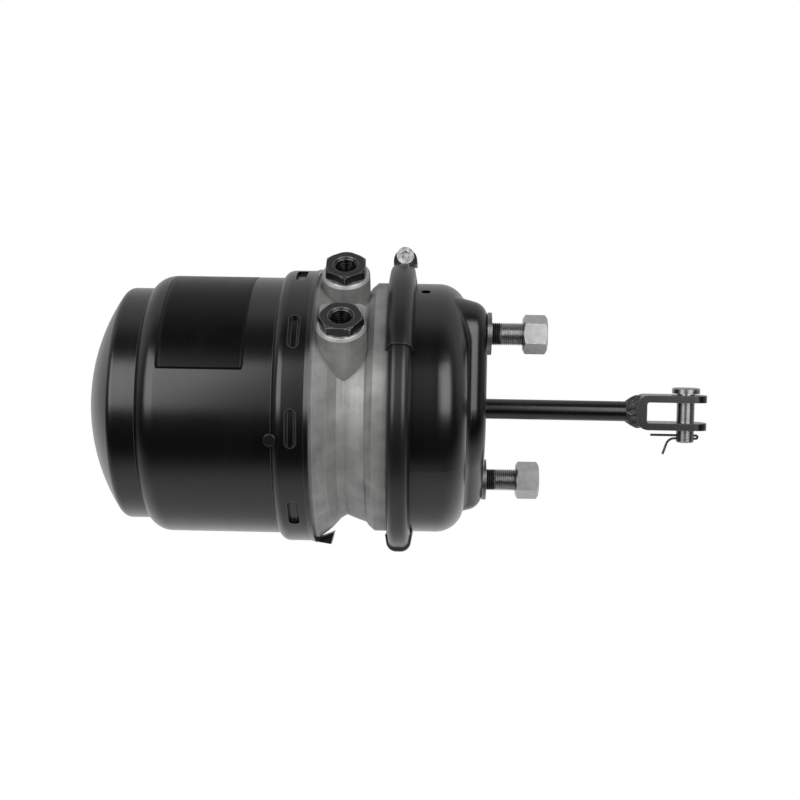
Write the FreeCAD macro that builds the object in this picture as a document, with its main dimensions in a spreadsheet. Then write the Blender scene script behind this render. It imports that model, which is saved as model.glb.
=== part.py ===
import FreeCAD, Part
import math
import os
import re
import Sketcher

# Combined service and spring brake chamber. Millimetres and degrees.
# Origin: centre of the mounting face, on the push rod's axis. +X points along the push rod to the clevis.
# The brake is applied: the power spring is long, both pistons stand forward, the rod is fully out.

SIZES = {
    # fits
    "push_fit": 0.02,
    "slide_fit": 0.05,
    "free_gap": 0.5,
    "seat_gap": 0.3,
    # spring housing: a deep-drawn can of three diameters with a domed rear end
    "can_wall": 2.6,
    "skirt_radius": 97.7,
    "skirt_rise": 5.3,
    "barrel_rise": 9,
    "dome_radius": 141.4,
    "dome_edge_round": 5.3,
    "rear_length": 17.9,
    "barrel_shoulder": 14.3,
    "barrel_length": 78.9,
    "skirt_shoulder": 7.3,
    "skirt_length": 18.3,
    "lip_distance": 58.8,
    "lip_length": 3.5,
    "lip_flare": 1.2,
    "tang_angle": 9,
    "tang_reach": 10,
    "tang_rise": 1.2,
    "tang_depth": 5,
    "tang_slant": 2.2,
    "well_radius": 28,
    "well_depth": 14.5,
    "well_round": 4,
    # windows in the skirt, over the lock ring
    "window_count": 9,
    "window_length": 26,
    "window_width": 7.5,
    "window_setback": 12,
    "window_elevation": 71,
    # vent plug
    "plug_radius": 4.6,
    "plug_stem_radius": 2.6,
    "plug_elevation": -13.4,
    "plug_height": 1.6,
    "plug_stem_length": 6,
    # release bolt
    "bolt_radius": 8,
    "bolt_head_flats": 24,
    "bolt_head_height": 11,
    "bolt_collar_radius": 12.6,
    "bolt_collar_length": 8,
    "insert_radius": 16,
    "insert_length": 14,
    # lock ring and main seal
    "lock_ring_width": 4,
    "lock_ring_depth": 3.2,
    "main_seal_width": 2.6,
    "main_seal_depth": 3,
    # port casting
    "flange_length": 17.4,
    "step_length": 4.1,
    "step_drop": 3.5,
    "step_foot_length": 1.8,
    "step_foot_drop": 2.6,
    "rib_distance": 31.8,
    "rib_rise": 2.2,
    "neck_distance": 37.3,
    "neck_drop": 11.3,
    "cone_foot_distance": 41.8,
    "cone_rise": 6.8,
    "cone_mid_distance": 47.8,
    "cone_mid_drop": 9.9,
    "cone_top_distance": 56.8,
    "spigot_wall": 10,
    "cavity_wall": 8.8,
    "partition_distance": 34.8,
    "partition_thickness": 10,
    "dish_taper": 13,
    "dish_wall": 3.6,
    "hub_bore_radius": 20.5,
    # ports
    "port_elevation": 47,
    "port_distance": 38.8,
    "port_offset": 27.7,
    "boss_radius": 16.8,
    "boss_rise": 2.8,
    "boss_chamfer": 1.5,
    "tab_width": 31,
    "tab_drop": 0.9,
    "tab_edge": 5,
    "tab_round": 5,
    "adapter_flats": 27,
    "adapter_height": 6.5,
    "adapter_thread_radius": 11,
    "adapter_depth": 14,
    "adapter_bevel": 1.4,
    "lower_adapter_turn": 25,
    "port_thread_radius": 7.2,
    "port_thread_length": 15,
    "port_mouth_radius": 8.75,
    "port_passage_radius": 3.5,
    "port_passage_shift": 7,
    "washer_ring_height": 1.2,
    "washer_ring_radius": 14.6,
    # guide bush and seal of the push tube
    "bush_length": 6,
    "tube_seal_length": 3.2,
    # clamp
    "clamp_station": 60.2,
    "clamp_crest_half": 6.4,
    "clamp_crest_gap": 0.7,
    "clamp_crest_round": 5,
    "clamp_base_half": 8.1,
    "clamp_foot_gap": 1.9,
    "clamp_wall": 2.4,
    "clamp_split": 5,
    "strap_wall": 2.2,
    "strap_lift": 1,
    "saddle_angle": 66,
    "link_angle": 22,
    "lug_thickness": 10,
    "lug_half_width": 8.4,
    "lug_shift": 1.4,
    "lug_gap": 5,
    "lug_drop": 2.8,
    "screw_rise": 6,
    "clamp_screw_radius": 4,
    "clamp_head_radius": 6.1,
    "clamp_head_length": 8,
    "clamp_socket_flats": 6,
    "clamp_socket_depth": 4,
    "clamp_nut_flats": 13,
    "clamp_nut_height": 6.5,
    # diaphragm
    "rubber": 3,
    "bead_thickness": 2.4,
    # service housing
    "bowl_radius": 89.6,
    "bowl_corner": 20.2,
    "bowl_wall": 2.7,
    "rim_height": 9.6,
    "vent_radius": 3.5,
    "vent_distance": 43.5,
    "vent_elevation": 65,
    # mounting pad, drawn out of the bowl along the stud line
    "pad_height": 14,
    "pad_middle_radius": 48,
    "pad_end_radius": 20,
    "pad_draft": 0.27,
    "pad_root": 12,
    "pad_round": 12,
    "pad_round_in": 6.5,
    "pad_blend": 5,
    "rod_hole_radius": 17,
    # studs, nuts and washers
    "stud_spacing": 120.65,
    "stud_tilt": 28.6,
    "stud_radius": 8,
    "stud_root_radius": 7.2,
    "stud_seat_radius": 8.2,
    "stud_length": 41,
    "stud_head_radius": 11.5,
    "stud_head_thickness": 4.5,
    "washer_radius": 15,
    "washer_hole_radius": 8.5,
    "washer_thickness": 3,
    "nut_flats": 24,
    "nut_height": 17,
    "nut_distance": 25,
    "nut_chamfer": 1.3,
    # push plate and rod
    "plate_clearance": 16.9,
    "plate_thickness": 4.5,
    "plate_front": -22.5,
    "rod_radius": 7.25,
    "weld_length": 7,
    "weld_wrap": 5,
    "weld_radius": 11.6,
    "weld_toe": 0.8,
    # clevis
    "fork_pin_distance": 145.3,
    "fork_gap": 14.8,
    "fork_bar": 5.1,
    "fork_web": 7.5,
    "fork_width": 25,
    "fork_throat": 29.4,
    "fork_nose": 14.7,
    "fork_bend": 8.5,
    "fork_bend_in": 1.6,
    "fork_end_round": 10.5,
    "fork_roll": 3.5,
    # clevis pin and split pin
    "pin_radius": 6.35,
    "pin_head_radius": 10,
    "pin_head_height": 4,
    "pin_length": 35.5,
    "pin_play": 1.2,
    "pin_chamfer": 0.8,
    "split_wire_radius": 0.85,
    "split_drop": 5.3,
    "split_bend": 1.15,
    "split_eye": 1.6,
    "split_leg": 25,
    "split_open_bend": 6,
    "split_open_angle": 71,
    "split_open_leg": 8.1,
    # parking piston and push tube
    "piston_rim_length": 13.5,
    "piston_cup_drop": 13.3,
    "piston_wall": 4.5,
    "piston_web": 6,
    "piston_seal_depth": 4,
    "piston_seal_width": 5,
    "piston_guide_width": 3.5,
    "piston_guide_depth": 2,
    "piston_land": 1.5,
    "tube_radius": 17,
    "tube_wall": 3.5,
    "tube_floor": 5,
    "tube_tail": 9,
    "tube_cap_thickness": 3,
    "tube_cap_plug": 6,
    # springs
    "power_wire": 13,
    "power_coil_gap": 4,
    "power_turns": 5.5,
    "return_wire": 5,
    "return_large_radius": 47,
    "return_small_radius": 33,
    "return_turns": 3,
    # dust guard
    "guard_thickness": 1.8,
    "guard_radius": 38,
}

# Places along X and radii that follow from the sizes.
PLACES = {
    "clamp_plane": "-clamp_station",
    "lip_end": "clamp_plane - lip_distance",
    "skirt_start": "lip_end - skirt_length",
    "step_two": "skirt_start - skirt_shoulder",
    "barrel_start": "step_two - barrel_length",
    "step_one": "barrel_start - barrel_shoulder",
    "rear_edge": "step_one - rear_length",
    "barrel_radius": "skirt_radius - skirt_rise",
    "rear_radius": "barrel_radius - barrel_rise",
    "dome_centre": "rear_edge + sqrt(dome_radius^2 - rear_radius^2)",
    "dome_radius_in": "dome_radius - can_wall",
    "rear_radius_in": "rear_radius - can_wall",
    "barrel_radius_in": "barrel_radius - can_wall",
    "skirt_radius_in": "skirt_radius - can_wall",
    "barrel_arc": "(barrel_shoulder^2 + barrel_rise^2) / (2 * barrel_rise)",
    "skirt_arc": "(skirt_shoulder^2 + skirt_rise^2) / (2 * skirt_rise)",
    "barrel_arc_in": "barrel_arc - can_wall",
    "skirt_arc_in": "skirt_arc - can_wall",
    "step_one_in": "barrel_start - sqrt(barrel_arc_in^2 - (barrel_arc_in - barrel_rise)^2)",
    "step_two_in": "skirt_start - sqrt(skirt_arc_in^2 - (skirt_arc_in - skirt_rise)^2)",
    "well_mouth": "dome_centre - sqrt(dome_radius^2 - well_radius^2)",
    "well_floor": "well_mouth + well_depth",
    "well_floor_in": "well_floor + can_wall",
    "window_place": "lip_end - window_setback",
    "spigot_end": "step_two_in + seat_gap",
    "spigot_radius": "skirt_radius_in - slide_fit",
    "main_seal_rear": "skirt_start + seat_gap",
    "main_seal_front": "main_seal_rear + main_seal_width",
    "partition_front": "clamp_plane - partition_distance",
    "partition_rear": "partition_front - partition_thickness",
    "port_place": "clamp_plane - port_distance",
    "cone_mid_radius": "skirt_radius - cone_mid_drop",
    "cone_foot_radius": "cone_mid_radius - cone_rise",
    "cavity_radius": "cone_mid_radius - cavity_wall",
    "boss_height": "skirt_radius + boss_rise",
    "tab_height": "boss_height - tab_drop",
    "step_radius": "bowl_radius - step_drop",
    "step_foot_radius": "step_radius - step_foot_drop",
    "neck_radius": "bowl_radius - neck_drop",
    "rib_radius": "neck_radius + rib_rise",
    "dish_radius": "dish_mouth_radius - dish_taper",
    "dish_mouth_radius": "bowl_radius - dish_wall",
    "rim_radius": "bowl_radius + rim_height",
    "bead_radius": "rim_radius - free_gap",
    "clamp_base_radius": "bowl_radius + clamp_foot_gap",
    "clamp_crest_radius": "rim_radius + clamp_crest_gap + clamp_wall",
    "clamp_screw_height": "clamp_crest_radius + screw_rise",
    "flank_slope": "(clamp_base_half - clamp_crest_half) / (clamp_crest_radius - clamp_base_radius)",
    "crest_in_radius": "clamp_crest_radius - clamp_wall",
    "crest_in_half": "clamp_base_in_half - flank_slope * (crest_in_radius - clamp_base_radius)",
    "clamp_base_in_half": "clamp_base_half - clamp_wall",
    "rim_tip_half": "clamp_base_in_half - flank_slope * (rim_radius - clamp_base_radius)",
    "rim_foot_half": "clamp_base_in_half + flank_slope * (clamp_base_radius - bowl_radius)",
    "bead_half": "bead_thickness / 2",
    "strap_base_radius": "clamp_base_radius + strap_lift",
    "strap_crest_radius": "clamp_crest_radius + strap_wall",
    "strap_crest_half": "clamp_crest_half + strap_wall * 0.55",
    "strap_base_in_half": "clamp_base_half - flank_slope * (strap_base_radius - clamp_base_radius)",
    "strap_base_half": "strap_base_in_half + strap_wall * 0.8",
    "bowl_floor": "-pad_height",
    "bowl_floor_in": "bowl_floor - bowl_wall",
    "corner_start": "bowl_floor - bowl_corner",
    "bowl_flat_radius": "bowl_radius - bowl_corner",
    "bowl_radius_in": "bowl_radius - bowl_wall",
    "bowl_corner_in": "bowl_corner - bowl_wall",
    "pad_start": "bowl_floor - pad_root",
    "pad_growth": "pad_draft * (pad_height + pad_root)",
    "stud_circle_radius": "stud_spacing / 2",
    "plate_radius": "bowl_radius_in - plate_clearance",
    "plate_back": "plate_front - plate_thickness",
    "tube_front": "plate_back - rubber - 2 * seat_gap",
    "piston_front": "partition_rear - free_gap",
    "piston_seat": "piston_front - piston_web",
    "tube_rear": "piston_seat - tube_tail",
    "tube_floor_front": "tube_rear + tube_floor",
    "bolt_collar_place": "tube_floor_front + seat_gap",
    "piston_rim_front": "spigot_end - seat_gap * 2",
    "piston_rim_rear": "piston_rim_front - piston_rim_length",
    "piston_rim_radius": "barrel_radius_in - free_gap",
    "piston_cup_radius": "piston_rim_radius - piston_cup_drop",
    "piston_guide_front": "piston_rim_rear + piston_land + piston_guide_width",
    "piston_seal_rear": "piston_rim_front - piston_land - piston_seal_width",
    "fork_back": "fork_pin_distance - fork_throat - fork_web",
    "fork_end": "fork_pin_distance + fork_nose",
    "fork_half": "fork_gap / 2 + fork_bar",
    "weld_start": "fork_back - weld_length",
    "weld_front": "fork_back + weld_wrap",
    "power_coil_radius": "piston_cup_radius - piston_wall - power_wire / 2 - power_coil_gap",
    "power_rear": "dome_centre - sqrt((dome_radius_in - power_wire / 2)^2 - power_coil_radius^2) + free_gap",
    "power_front": "piston_seat - power_wire / 2 - seat_gap",
    "return_front": "-bowl_wall - guard_thickness - return_wire / 2 - seat_gap",
    "return_length": "return_front - plate_front - return_wire / 2 - seat_gap",
    "return_cone": "atan((return_large_radius - return_small_radius) / return_length)",
}

document = FreeCAD.newDocument("AirBrakeChamber")
sheet = document.addObject("Spreadsheet::Sheet", "Dimensions")
for row, (alias, size) in enumerate(SIZES.items(), start=1):
    sheet.set("A%d" % row, alias.replace("_", " "))
    sheet.set("B%d" % row, str(size))
    sheet.setAlias("B%d" % row, alias)
document.recompute()


def expand(text):
    """Write an expression of sizes and places in the sheet's own cell names."""
    def swap(match):
        word = match.group(0)
        if word in PLACES:
            return "(" + expand(PLACES[word]) + ")"
        if word in SIZES:
            return "Dimensions." + word
        return word

    return re.sub(r"[a-z_][a-z0-9_]*", swap, text)


def number(text):
    """The present value of an expression of sizes and places."""
    result = sheet.evalExpression(expand(text))
    return float(getattr(result, "Value", result))


def new_body(label, turn="0", along="0", offset="0", bearing="0"):
    """A sub-part, turned about the X axis, then moved along it and off it, at a bearing from the top."""
    body = document.addObject("PartDesign::Body", label)
    body.Label = label
    places = {
        "Placement.Base.x": along,
        "Placement.Base.y": "-sin(%s) * (%s)" % (bearing, offset) if offset != "0" else "0",
        "Placement.Base.z": "cos(%s) * (%s)" % (bearing, offset) if offset != "0" else "0",
        "Placement.Rotation.Angle": turn,
    }
    body.Placement = FreeCAD.Placement(
        FreeCAD.Vector(*[number(text) for text in list(places.values())[:3]]),
        FreeCAD.Rotation(FreeCAD.Vector(1, 0, 0), number(turn)),
    )
    for prop, text in places.items():
        if text != "0":
            body.setExpression(prop, expand(text))
    return body


def origin_feature(body, role):
    return next(item for item in body.Origin.OriginFeatures if item.Role == role)


def new_sketch(body, name, role="XZ_Plane", lift="0", tilt="0"):
    """A sketch on an origin plane, lifted along the plane's normal after a tilt about the X axis."""
    sketch = body.newObject("Sketcher::SketchObject", name)
    sketch.AttachmentSupport = [(origin_feature(body, role), "")]
    sketch.MapMode = "FlatFace"
    angle = math.radians(number(tilt))
    height = number(lift)
    normal = FreeCAD.Vector(0, -math.sin(angle) * height, math.cos(angle) * height)
    rotation = FreeCAD.Rotation(FreeCAD.Vector(1, 0, 0), number(tilt))
    sketch.AttachmentOffset = FreeCAD.Placement(normal, rotation)
    if tilt != "0":
        sketch.setExpression("AttachmentOffset.Rotation.Angle", expand(tilt))
        sketch.setExpression("AttachmentOffset.Base.y", expand("-sin(%s) * (%s)" % (tilt, lift)))
        sketch.setExpression("AttachmentOffset.Base.z", expand("cos(%s) * (%s)" % (tilt, lift)))
    elif lift != "0":
        sketch.setExpression("AttachmentOffset.Base.z", expand(lift))
    return sketch


def bind_point(sketch, edge, end, x, y):
    """Tie a point of the sketch to its place; a zero keeps it on the axis."""
    for kind, axis, text in (("DistanceX", -2, x), ("DistanceY", -1, y)):
        if text == "0":
            sketch.addConstraint(Sketcher.Constraint("PointOnObject", edge, end, axis))
        else:
            mark = sketch.addConstraint(Sketcher.Constraint(kind, -1, 1, edge, end, number(text)))
            sketch.setExpression("Constraints[%d]" % mark, expand(text))


def bind_radius(sketch, edge, text):
    mark = sketch.addConstraint(Sketcher.Constraint("Radius", edge, number(text)))
    sketch.setExpression("Constraints[%d]" % mark, expand(text))


def arc_between(start, end, radius, left):
    """The short arc from start to end, turning left or right."""
    chord = end - start
    side = FreeCAD.Vector(-chord.y, chord.x, 0).normalize() * (1 if left else -1)
    centre = (start + end) * 0.5 + side * math.sqrt(max(radius**2 - chord.Length**2 / 4, 0))
    first, last = (start, end) if left else (end, start)
    angles = [math.atan2(point.y - centre.y, point.x - centre.x) for point in (first, last)]
    return Part.ArcOfCircle(Part.Circle(centre, FreeCAD.Vector(0, 0, 1), radius), *angles)


def chain(sketch, corners, closed):
    """Lines and arcs through corners (x, y); (x, y, radius, "left" or "right") is reached by an arc."""
    points = [FreeCAD.Vector(number(corner[0]), number(corner[1]), 0) for corner in corners]
    edges = []
    for index in range(0 if closed else 1, len(corners)):
        corner, start, end = corners[index], points[index - 1], points[index]
        if len(corner) == 2:
            edge = sketch.addGeometry(Part.LineSegment(start, end), False)
            edges.append((edge, 1, 2))
            continue
        left = corner[3] == "left"
        edge = sketch.addGeometry(arc_between(start, end, number(corner[2]), left), False)
        edges.append((edge, 1, 2) if left else (edge, 2, 1))
        bind_radius(sketch, edge, corner[2])
    for index, (edge, start, end) in enumerate(edges):
        corner = corners[index if closed else index + 1]
        bind_point(sketch, edge, end, corner[0], corner[1])
        following = edges[(index + 1) % len(edges)]
        if closed or index + 1 < len(edges):
            sketch.addConstraint(Sketcher.Constraint("Coincident", edge, end, following[0], following[1]))
    if not closed:
        bind_point(sketch, edges[0][0], edges[0][1], corners[0][0], corners[0][1])


def outline(sketch, corners):
    chain(sketch, corners, closed=True)


def circle(sketch, x, y, radius):
    centre = FreeCAD.Vector(number(x), number(y), 0)
    edge = sketch.addGeometry(Part.Circle(centre, FreeCAD.Vector(0, 0, 1), number(radius)), False)
    bind_point(sketch, edge, 3, x, y)
    bind_radius(sketch, edge, radius)


def slot(sketch, x, half_straight, radius):
    """A slot along the sketch's y axis, centred on y = 0."""
    middle, reach, end_radius = number(x), number(half_straight), number(radius)
    up = FreeCAD.Vector(0, 0, 1)
    top = Part.Circle(FreeCAD.Vector(middle, reach, 0), up, end_radius)
    bottom = Part.Circle(FreeCAD.Vector(middle, -reach, 0), up, end_radius)
    right, left = middle + end_radius, middle - end_radius
    sketch.addGeometry(Part.ArcOfCircle(top, 0, math.pi), False)
    sketch.addGeometry(Part.ArcOfCircle(bottom, math.pi, 2 * math.pi), False)
    sketch.addGeometry(Part.LineSegment(FreeCAD.Vector(left, reach, 0), FreeCAD.Vector(left, -reach, 0)), False)
    sketch.addGeometry(Part.LineSegment(FreeCAD.Vector(right, -reach, 0), FreeCAD.Vector(right, reach, 0)), False)
    for pair in ((0, 2, 2, 1), (2, 2, 1, 1), (1, 2, 3, 1), (3, 2, 0, 1)):
        sketch.addConstraint(Sketcher.Constraint("Tangent", *pair))
    bind_point(sketch, 0, 3, x, half_straight)
    bind_point(sketch, 1, 3, x, "-(%s)" % half_straight)
    bind_radius(sketch, 0, radius)


def hexagon(sketch, flats, x="0", y="0", flat=False):
    """A hexagon with two flats parallel to the sketch's y axis, or to its x axis when it lies flat."""
    half = "(%s) / 2" % flats
    reach = "(%s) / sqrt(3)" % flats
    signs = (("+", "+", 0.5), ("", "+", 1), ("-", "+", 0.5), ("-", "-", 0.5), ("", "-", 1), ("+", "-", 0.5))
    corners = []
    for across, up, share in signs:
        side = "%s %s" % (across, half) if across else ""
        tip = "%s %s * %s" % (up, reach, share)
        corners.append((x + tip, y + side) if flat else (x + side, y + tip))
    outline(sketch, corners[::-1] if flat else corners)


def turned(body, name, corners, cut=False, angle="360", tilt="0"):
    """Revolve an outline of (x, radius) corners about the X axis, from a plane tilted about it."""
    sketch = new_sketch(body, name + "Profile", tilt=tilt)
    outline(sketch, corners)
    feature = body.newObject("PartDesign::" + ("Groove" if cut else "Revolution"), name)
    feature.Profile = (sketch, [""])
    feature.ReferenceAxis = (sketch, ["H_Axis"])
    feature.Angle = number(angle)
    if angle != "360":
        feature.setExpression("Angle", expand(angle))
    return feature


def extruded(body, name, sketch, length, cut=False, reverse=False, both=False):
    """Pad or pocket a sketch; a pocket runs against the sketch's normal."""
    feature = body.newObject("PartDesign::" + ("Pocket" if cut else "Pad"), name)
    feature.Profile = (sketch, [""])
    feature.Length = number(length)
    feature.setExpression("Length", expand(length))
    feature.Reversed = reverse
    feature.Midplane = both
    return feature


def around(body, name, feature, count):
    """Repeat a feature evenly about the X axis."""
    pattern = body.newObject("PartDesign::PolarPattern", name)
    pattern.Originals = [feature]
    pattern.Axis = (origin_feature(body, "X_Axis"), [""])
    pattern.Angle = 360
    pattern.Occurrences = int(number(count))
    pattern.setExpression("Occurrences", expand(count))
    body.Tip = pattern
    return pattern


def about_x(*places):
    """Test for full circles about the X axis at the (x, radius) places."""
    wanted = [(number(x), number(radius)) for x, radius in places]

    def test(edge):
        curve = edge.Curve
        if not isinstance(curve, Part.Circle) or math.hypot(curve.Center.y, curve.Center.z) > 1e-6:
            return False
        return any(abs(curve.Center.x - x) < 1e-4 and abs(curve.Radius - r) < 1e-4 for x, r in wanted)

    return test


def about_z(radius, height):
    """Test for circles about an upright axis, of one radius and height."""
    size, level = number(radius), number(height)

    def test(edge):
        curve = edge.Curve
        if not isinstance(curve, Part.Circle):
            return False
        return abs(curve.Radius - size) < 1e-4 and abs(curve.Center.z - level) < 1e-4

    return test


def dressed(body, kind, name, test, size):
    """Fillet or chamfer those edges of the body's last feature that pass the test."""
    document.recompute()
    base = body.Tip
    edges = ["Edge%d" % index for index, edge in enumerate(base.Shape.Edges, start=1) if test(edge)]
    feature = body.newObject("PartDesign::" + kind, name)
    feature.Base = (base, edges)
    prop = "Radius" if kind == "Fillet" else "Size"
    setattr(feature, prop, number(size))
    feature.setExpression(prop, expand(size))
    return feature


def ring(label, rear, front, inner, outer):
    """A plain ring about the X axis."""
    body = new_body(label)
    turned(body, "Ring", [(rear, inner), (front, inner), (front, outer), (rear, outer)])
    return body


def spring_housing():
    """Deep-drawn can: dome with a well for the release bolt, three diameters, a skirt with windows."""
    body = new_body("spring_housing")
    turned(body, "Can", [
        ("well_floor", "bolt_radius + free_gap"),
        ("well_floor", "well_radius"),
        ("well_mouth", "well_radius"),
        ("rear_edge", "rear_radius", "dome_radius", "right"),
        ("step_one", "rear_radius"),
        ("barrel_start", "barrel_radius", "barrel_arc", "right"),
        ("step_two", "barrel_radius"),
        ("skirt_start", "skirt_radius", "skirt_arc", "right"),
        ("lip_end - lip_length", "skirt_radius"),
        ("lip_end", "skirt_radius + lip_flare"),
        ("lip_end", "skirt_radius_in + lip_flare"),
        ("lip_end - lip_length", "skirt_radius_in"),
        ("skirt_start", "skirt_radius_in"),
        ("step_two_in", "barrel_radius_in", "skirt_arc_in", "left"),
        ("barrel_start", "barrel_radius_in"),
        ("step_one_in", "rear_radius_in", "barrel_arc_in", "left"),
        ("dome_centre - sqrt(dome_radius_in^2 - rear_radius_in^2)", "rear_radius_in"),
        ("dome_centre - sqrt(dome_radius_in^2 - (well_radius + can_wall)^2)", "well_radius + can_wall",
         "dome_radius_in", "left"),
        ("well_floor_in", "well_radius + can_wall"),
        ("well_floor_in", "bolt_radius + free_gap"),
    ])
    dressed(body, "Fillet", "DomeEdge", about_x(("rear_edge", "rear_radius")), "dome_edge_round")
    dressed(body, "Fillet", "WellLip", about_x(("well_mouth", "well_radius")), "well_round")
    lip_in, lip_out = "skirt_radius_in + lip_flare", "skirt_radius + lip_flare"
    turned(body, "Tang", [
        ("lip_end - lip_length / 2", lip_in),
        ("lip_end - lip_length / 2", lip_out + " - can_wall / 4"),
        ("lip_end + tang_reach", lip_out + " + tang_rise"),
        ("lip_end + tang_reach + tang_slant", lip_in + " - tang_depth"),
        ("lip_end + free_gap", lip_in + " - seat_gap"),
    ], angle="tang_angle", tilt="180 - tang_angle / 2")
    window = new_sketch(body, "WindowSlot", "XY_Plane", "skirt_radius + can_wall", "90 - window_elevation")
    slot(window, "window_place", "window_length / 2 - window_width / 2", "window_width / 2")
    cut = extruded(body, "Window", window, "can_wall * 4", cut=True)
    around(body, "Windows", cut, "window_count")
    hole = new_sketch(body, "PlugHole", "XY_Plane", "skirt_radius + can_wall", "90 - plug_elevation")
    circle(hole, "step_two", "0", "plug_stem_radius")
    extruded(body, "PlugBore", hole, "can_wall * 6", cut=True)
    return body


def vent_plug():
    """Push-in breather plug over the second step of the can."""
    body = new_body("vent_plug", turn="90 - plug_elevation")
    stem = new_sketch(body, "StemCircle", "XY_Plane", "skirt_radius - plug_stem_length")
    circle(stem, "step_two", "0", "plug_stem_radius - slide_fit")
    extruded(body, "Stem", stem, "plug_stem_length")
    head = new_sketch(body, "HeadCircle", "XY_Plane", "skirt_radius - slide_fit")
    circle(head, "step_two", "0", "plug_radius")
    extruded(body, "Head", head, "plug_height")
    dressed(body, "Fillet", "Dome", about_z("plug_radius", "skirt_radius + plug_height - slide_fit"),
            "plug_height * 0.8")
    return body


def release_insert():
    """Threaded steel insert welded inside the well's floor, for the release bolt."""
    rear, bore = "well_floor_in", "bolt_radius + slide_fit"
    return ring("release_insert", rear, rear + " + insert_length", bore, "insert_radius")


def release_bolt():
    """Bolt that winds the parking piston back by hand; its collar waits in front of the tube's floor."""
    body = new_body("release_bolt")
    head_face = "well_floor - seat_gap"
    turned(body, "Shank", [
        (head_face, "0"),
        (head_face, "bolt_radius"),
        ("bolt_collar_place", "bolt_radius"),
        ("bolt_collar_place", "bolt_collar_radius"),
        ("bolt_collar_place + bolt_collar_length", "bolt_collar_radius"),
        ("bolt_collar_place + bolt_collar_length", "0"),
    ])
    head = new_sketch(body, "HeadHexagon", "YZ_Plane", head_face + " - bolt_head_height")
    hexagon(head, "bolt_head_flats")
    extruded(body, "Head", head, "bolt_head_height")
    return body


def lock_ring():
    """Split ring that locks the casting in the skirt, seen through the windows."""
    body = new_body("lock_ring")
    half = "lock_ring_width / 2"
    inner, outer = "spigot_radius - lock_ring_depth + slide_fit", "skirt_radius_in - slide_fit"
    turned(body, "Ring", [
        ("window_place - " + half, inner),
        ("window_place + " + half, inner),
        ("window_place + " + half, outer),
        ("window_place - " + half, outer),
    ])
    return body


def main_seal():
    """Square-cut seal on the casting's spigot, behind the can's second shoulder."""
    return ring("main_seal", "main_seal_rear", "main_seal_front", "spigot_radius - main_seal_depth",
                "spigot_radius")


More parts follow.
